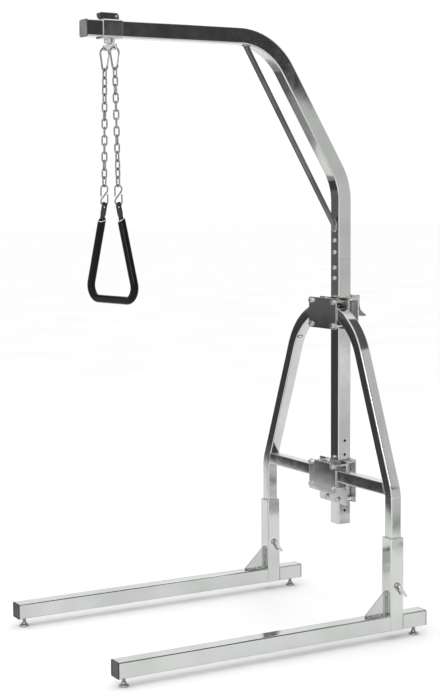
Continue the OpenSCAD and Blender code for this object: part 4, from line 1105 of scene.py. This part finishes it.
def build_chains():
    """Welded links, each with the small swelling of its weld in the middle of one side."""
    links, wire_r, r, length = 14, 2.25, 6.4, 27.1
    step, top_z = 22.3, 1590.8
    turn = math.radians(90 * (links - 2) / (links - 1))
    straight = length - 2 * r
    loop = arc(0, -r, r, 0, 180, 10)
    loop += [(-r, -r - straight * k / 6) for k in range(1, 6)]
    loop += arc(0, -r - straight, r, 180, 360, 10)
    loop += [(r, -r - straight * (1 - k / 6)) for k in range(1, 6)]
    weld_at = 13

    def swell(i):
        return 1.13 if i == weld_at else 1.05 if abs(i - weld_at) == 1 else 1.0

    for name, side in SIDES.items():
        chain = Solid(strand(side))
        for i in range(links):
            at = shift(0, 0, top_z - i * step) @ Matrix.Rotation(side * i * turn, 4, "Z")
            chain.add(wire([(x, 0, z) for x, z in loop], wire_r, Y, closed=True, steps=12, swell=swell), at)
        node_piece(f"chain_{name}", chain, "chain_steel", f"chain_{name}")


def build_s_hooks():
    wire_r, r, half, prong, mid_z = 2.2, 11.3, 16.8, 18, 1250.45
    cross = math.degrees(math.asin(r / half))
    upper = arc(0, half, r, cross - 90, 180, 22) + [(-r, half - prong * k / 4) for k in range(1, 5)]
    lower = arc(0, -half, r, cross + 90, 360, 22) + [(r, prong * k / 4 - half) for k in range(1, 5)]
    route = [(y, z + mid_z) for y, z in list(reversed(upper)) + lower]
    for name, side in SIDES.items():
        solid = Solid(strand(side)).add(wire(yz(route), wire_r, X, steps=16))
        node_piece(f"s_hook_{name}", solid, "chain_steel", f"s_hook_{name}")


def slanted(station, loop, along, way):
    """A section cut at a slant: it starts up to 9 mm later on the front of the bar than on its back."""
    ring = station.ring(loop, along)
    reach = max(abs(u) for u, v in loop)
    late = [4.5 * (1 - point[0] / reach) for point in loop]
    return [p + station.ahead * way * d for p, d in zip(ring, late)]


def build_handle():
    corner_r, bar_z, tube_r, grip_r = 36, 967.7, 6.5, 11
    drop = HANDLE_HOLE_Z - bar_z
    tab_w, tab_t, tab_top, tab_len, flare, grip_start = 19, 5, 12, 23, 12, 34
    half_width = 111
    corner_x = half_width - grip_r - corner_r
    top_x = HANDLE_SPAN / 2
    dx, dz = top_x - corner_x, drop - corner_r
    lean = math.pi / 2 - math.acos(corner_r / math.hypot(dx, dz)) - math.atan2(dx, dz)
    virtual_x = top_x + drop * math.tan(lean)
    down = Vector((math.sin(lean), 0, -math.cos(lean)))

    def route(skip):
        """The bar's path, starting and ending `skip` below the handle's holes."""
        end_x, end_z = top_x + down.x * skip, HANDLE_HOLE_Z + down.z * skip
        corners = [(-end_x, 0, end_z), (-virtual_x, 0, bar_z), (virtual_x, 0, bar_z), (end_x, 0, end_z)]
        return bent_path(corners, [corner_r, corner_r], Y, step=4)

    steel = Solid(TRAPEZE)
    steel.add(round_tube(route(tab_len + flare - 1), tube_r - 0.02, 1.5, 28))
    for side in (-1, 1):
        at = place((side * top_x, tab_t / 2, HANDLE_HOLE_Z), Vector((down.z * side, 0, -down.x)) * -side,
                   Vector((down.x * side, 0, down.z)))
        depth = -tab_t if at.col[2].y > 0 else 0
        half = tab_w / 2
        tab = oblong(-half, -tab_top, half, tab_len, 4, 0.2)
        steel.add(prism(tab, tab_t, [hole(0, 0, 5, 24)], edge=0.6), at @ shift(0, 0, depth))
        flat, bar = rounded(tab_w - 0.3, tab_t - 0.1, 2.2, 6), circle(tube_r - 0.05, 28)
        rings = []
        for k in range(9):
            t = k / 8
            blend = t * t * (3 - 2 * t)
            z = tab_len - 2 + (flare + 2) * t
            ring = [(a[0] + (b[0] - a[0]) * blend, a[1] + (b[1] - a[1]) * blend) for a, b in zip(flat, bar)]
            rings.append([at @ Vector((u, z, depth + tab_t / 2 + v)) for u, v in ring])
        steel.add(skin(rings, caps=True))
    node_piece("handle_tube", steel, "handle_steel", "handle")

    path = route(grip_start)
    outer, inner = circle(grip_r, 32), circle(tube_r + 0.05, 32)
    first, last = path[0], path[-1]
    lip = ((circle(grip_r - 1.6, 32), 0), (circle(grip_r - 0.5, 32), 0.5), (outer, 1.7))
    rings = [slanted(first, loop, along, 1) for loop, along in lip]
    rings += [s.ring(outer) for s in path[1:-1]]
    rings += [slanted(last, loop, -along, -1) for loop, along in reversed(lip)]
    rings += [s.ring(inner) for s in reversed(path)]
    node_piece("handle_grip", Solid(TRAPEZE).add(skin(rings, wrap=True)), "grip_vinyl", "handle")

    # Bright bands at the grip's slanted ends: a painted highlight line where the sleeve ends.
    bands = Solid(TRAPEZE)
    ridge, seat = circle(grip_r - 0.9, 32), circle(grip_r - 1.5, 32)
    for station, way in ((first, 1), (last, -1)):
        hoops = [slanted(station, loop, way * along, way)
                 for loop, along in ((seat, 0.4), (seat, -2.2), (ridge, -1.9), (ridge, 0.1))]
        bands.add(skin(hoops, wrap=True))
    piece("v_handle_highlight_rings", bands, "chain_steel", "handle", finish=PLATING_AND_HIGHLIGHT)


# ---------------------------------------------------------------- camera, stage and light


def build_camera():
    """The photograph's viewpoint: a long lens a little above the upper clamp, looking slightly down."""
    yaw, pitch, roll = (math.radians(a) for a in (-29.9, -5.52, -0.34))
    level = Matrix(((0, 1, 0), (0, 0, 1), (1, 0, 0)))
    turn, nod, tip = (Matrix.Rotation(-a, 3, axis) for a, axis in ((yaw, "Z"), (pitch, "X"), (roll, "Z")))
    data = bpy.data.cameras.new("camera")
    data.lens, data.sensor_width = 79.5, 36
    data.clip_end = 200
    camera = add_object("camera", data)
    camera.matrix_world = (tip @ nod @ level @ turn).transposed().to_4x4()
    camera.location = (3.7675, -2.1637, 1.2386)
    bpy.context.scene.camera = camera


def flat_sheet(name, centre, along, up, width, height, material):
    """Rectangle of a few faces."""
    mesh = bpy.data.meshes.new(name)
    work = bmesh.new()
    bmesh.ops.create_grid(work, x_segments=4, y_segments=4, size=0.5)
    matrix = place(centre, along, up) @ Matrix.Diagonal((width, height, 1, 1))
    bmesh.ops.transform(work, matrix=matrix, verts=work.verts)
    work.to_mesh(mesh)
    work.free()
    obj = add_object(name, mesh)
    mesh.materials.append(material)
    return obj


def floor_material():
    s = Shader("floor", (0.92, 0.92, 0.92), roughness=0.85, Specular_IOR_Level=0.05)
    s.colors(s.noise(1.5, 4), (0.3, (0.90, 0.90, 0.90)), (0.7, (0.93, 0.93, 0.93)))
    s.rough(s.noise(6, 3), 0.8, 0.95)
    s.bump(s.noise(220, 3), 0.05)
    return s.material


def height_value(tree):
    """The Z of a node tree's generated coordinates."""
    coordinates = tree.nodes.new("ShaderNodeTexCoord")
    split = tree.nodes.new("ShaderNodeSeparateXYZ")
    tree.links.new(coordinates.outputs["Generated"], split.inputs["Vector"])
    return split.outputs["Z"]


def card_material(name, low, high):
    """Plain glow, `low` at the card's foot and `high` at its top."""
    material = bpy.data.materials.new(name)
    material.use_nodes = True
    tree = material.node_tree
    tree.nodes.clear()
    glow = tree.nodes.new("ShaderNodeEmission")
    ramp = tree.nodes.new("ShaderNodeMapRange")
    out = tree.nodes.new("ShaderNodeOutputMaterial")
    tree.links.new(height_value(tree), ramp.inputs["Value"])
    ramp.inputs["To Min"].default_value, ramp.inputs["To Max"].default_value = low, high
    tree.links.new(ramp.outputs["Result"], glow.inputs["Strength"])
    tree.links.new(glow.outputs["Emission"], out.inputs["Surface"])
    return material


def glossy_card(name, centre, along, up, width, height, low, high):
    """Card that glossy surfaces see and nothing else does."""
    card = flat_sheet(name, centre, along, up, width, height, card_material(name, low, high))
    card.visible_camera = False
    card.visible_diffuse = False
    card.visible_shadow = False
    card.visible_transmission = False


def reflector(name, centre, facing, width, height, low, high):
    """Upright glossy card."""
    glossy_card(name, centre, Z.cross(Vector(facing).normalized()), Z, width, height, low, high)


def lying_card(name, spot, turn, width, depth, strength, height=0.012):
    """Level glossy card, near the floor or overhead; `turn` is its bearing in radians."""
    outward = Vector((math.cos(turn), math.sin(turn), 0))
    across = Vector((-outward.y, outward.x, 0))
    glossy_card(name, (*spot, height), across, outward, width, depth, strength, strength)


def area_light(name, spot, target, width, height, power):
    data = bpy.data.lights.new(name, "AREA")
    data.shape, data.size, data.size_y, data.energy = "RECTANGLE", width, height, power
    lamp = add_object(name, data)
    lamp.location = spot
    lamp.rotation_euler = (Vector(target) - Vector(spot)).to_track_quat("-Z", "Y").to_euler()


def build_world():
    """White studio sweep: white at the horizon and overhead, with a grey band between."""
    world = bpy.data.worlds.new("studio")
    bpy.context.scene.world = world
    world.use_nodes = True
    tree = world.node_tree
    ramp = tree.nodes.new("ShaderNodeValToRGB")
    stops = [(0.0, 0.64), (0.3, 0.65), (0.46, 0.5), (0.62, 0.4), (0.72, 0.45), (0.85, 0.95), (1.0, 1.0)]
    fill_ramp(ramp, [(at, (grey, grey, grey)) for at, grey in stops])
    tree.links.new(height_value(tree), ramp.inputs["Fac"])
    tree.links.new(ramp.outputs["Color"], tree.nodes["Background"].inputs["Color"])
    tree.nodes["Background"].inputs["Strength"].default_value = 1.6


def build_stage():
    """Floor, lamps, and the cards whose reflections lay light and dark along the chrome."""
    flat_sheet("floor", (0, 0, 0), X, Y, 120, 120, floor_material())
    facing = (0.17, -0.985, 0)
    reflector("dark_card_low", (-2.2, -0.88, 0.37), facing, 3.6, 0.74, 0.075, 0.06)
    reflector("dark_card_high", (-2.2, -0.88, 1.97), facing, 3.6, 2.46, 0.17, 0.03)
    away = math.radians(24)
    beyond = Vector((math.cos(away), math.sin(away), 0))
    reflector("far_card", Vector((0, -0.2, 4.0)) + beyond * 6, beyond, 3.4, 4.2, 0.06, 0.06)
    reflector("side_card", (7.2, 3.5, 3.0), (-0.9, -0.436, 0), 9.0, 5.9, 0.74, 0.78)
    bearing = 0.40
    for name, spot, depth, strength in (("left_foot_high", (1.243, 1.335), 0.22, 0.3),
                                        ("left_foot_low", (0.997, 1.18), 0.10, 0.5),
                                        ("left_socket_patch", (0.768, 1.039), 0.26, 0.45),
                                        ("right_foot_patch", (1.55, 1.27), 0.24, 0.35),
                                        ("right_socket_patch", (1.27, 1.05), 0.08, 0.3)):
        lying_card(name, spot, bearing, 0.3, depth, strength)
    lying_card("grey_floor", (3.1, 2.11), bearing, 5.0, 3.8, 0.78)
    lying_card("overhead", (2.6, 3.2), math.pi / 2, 6.5, 3.3, 0.13, 4.95)
    lying_card("slope_far", (-3.2, -1.1), 3.47, 1.8, 0.9, 0.15, 0.02)
    lying_card("slope_near", (-2.6, -0.7), 3.40, 1.8, 0.5, 0.35, 0.016)
    area_light("key", (2.6, -3.6, 3.8), (0, 0, 0.8), 2.2, 2.2, 25)
    area_light("front", (4.0, -2.6, 3.05), (0, -0.3, 1.1), 1.0, 1.0, 30)
    area_light("rim", (-3.2, 2.4, 3.0), (0, 0, 0.9), 1.2, 2.4, 12)
    bpy.context.scene.view_settings.view_transform = "Standard"


for build in (build_camera, build_world, build_stage, build_legs, build_gussets, build_glides,
              build_lock_screws, build_liners, build_a_frame, build_clamps, build_clamp_lever, build_mast,
              build_boom, build_strut, build_collar, build_collar_lever, build_hanger, build_hooks,
              build_chains, build_s_hooks, build_handle):
    build()

sleeve_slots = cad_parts["splice_sleeve"].data.materials
sleeve_slots.clear()
sleeve_slots.append(MATERIALS["zinc_hardware"])
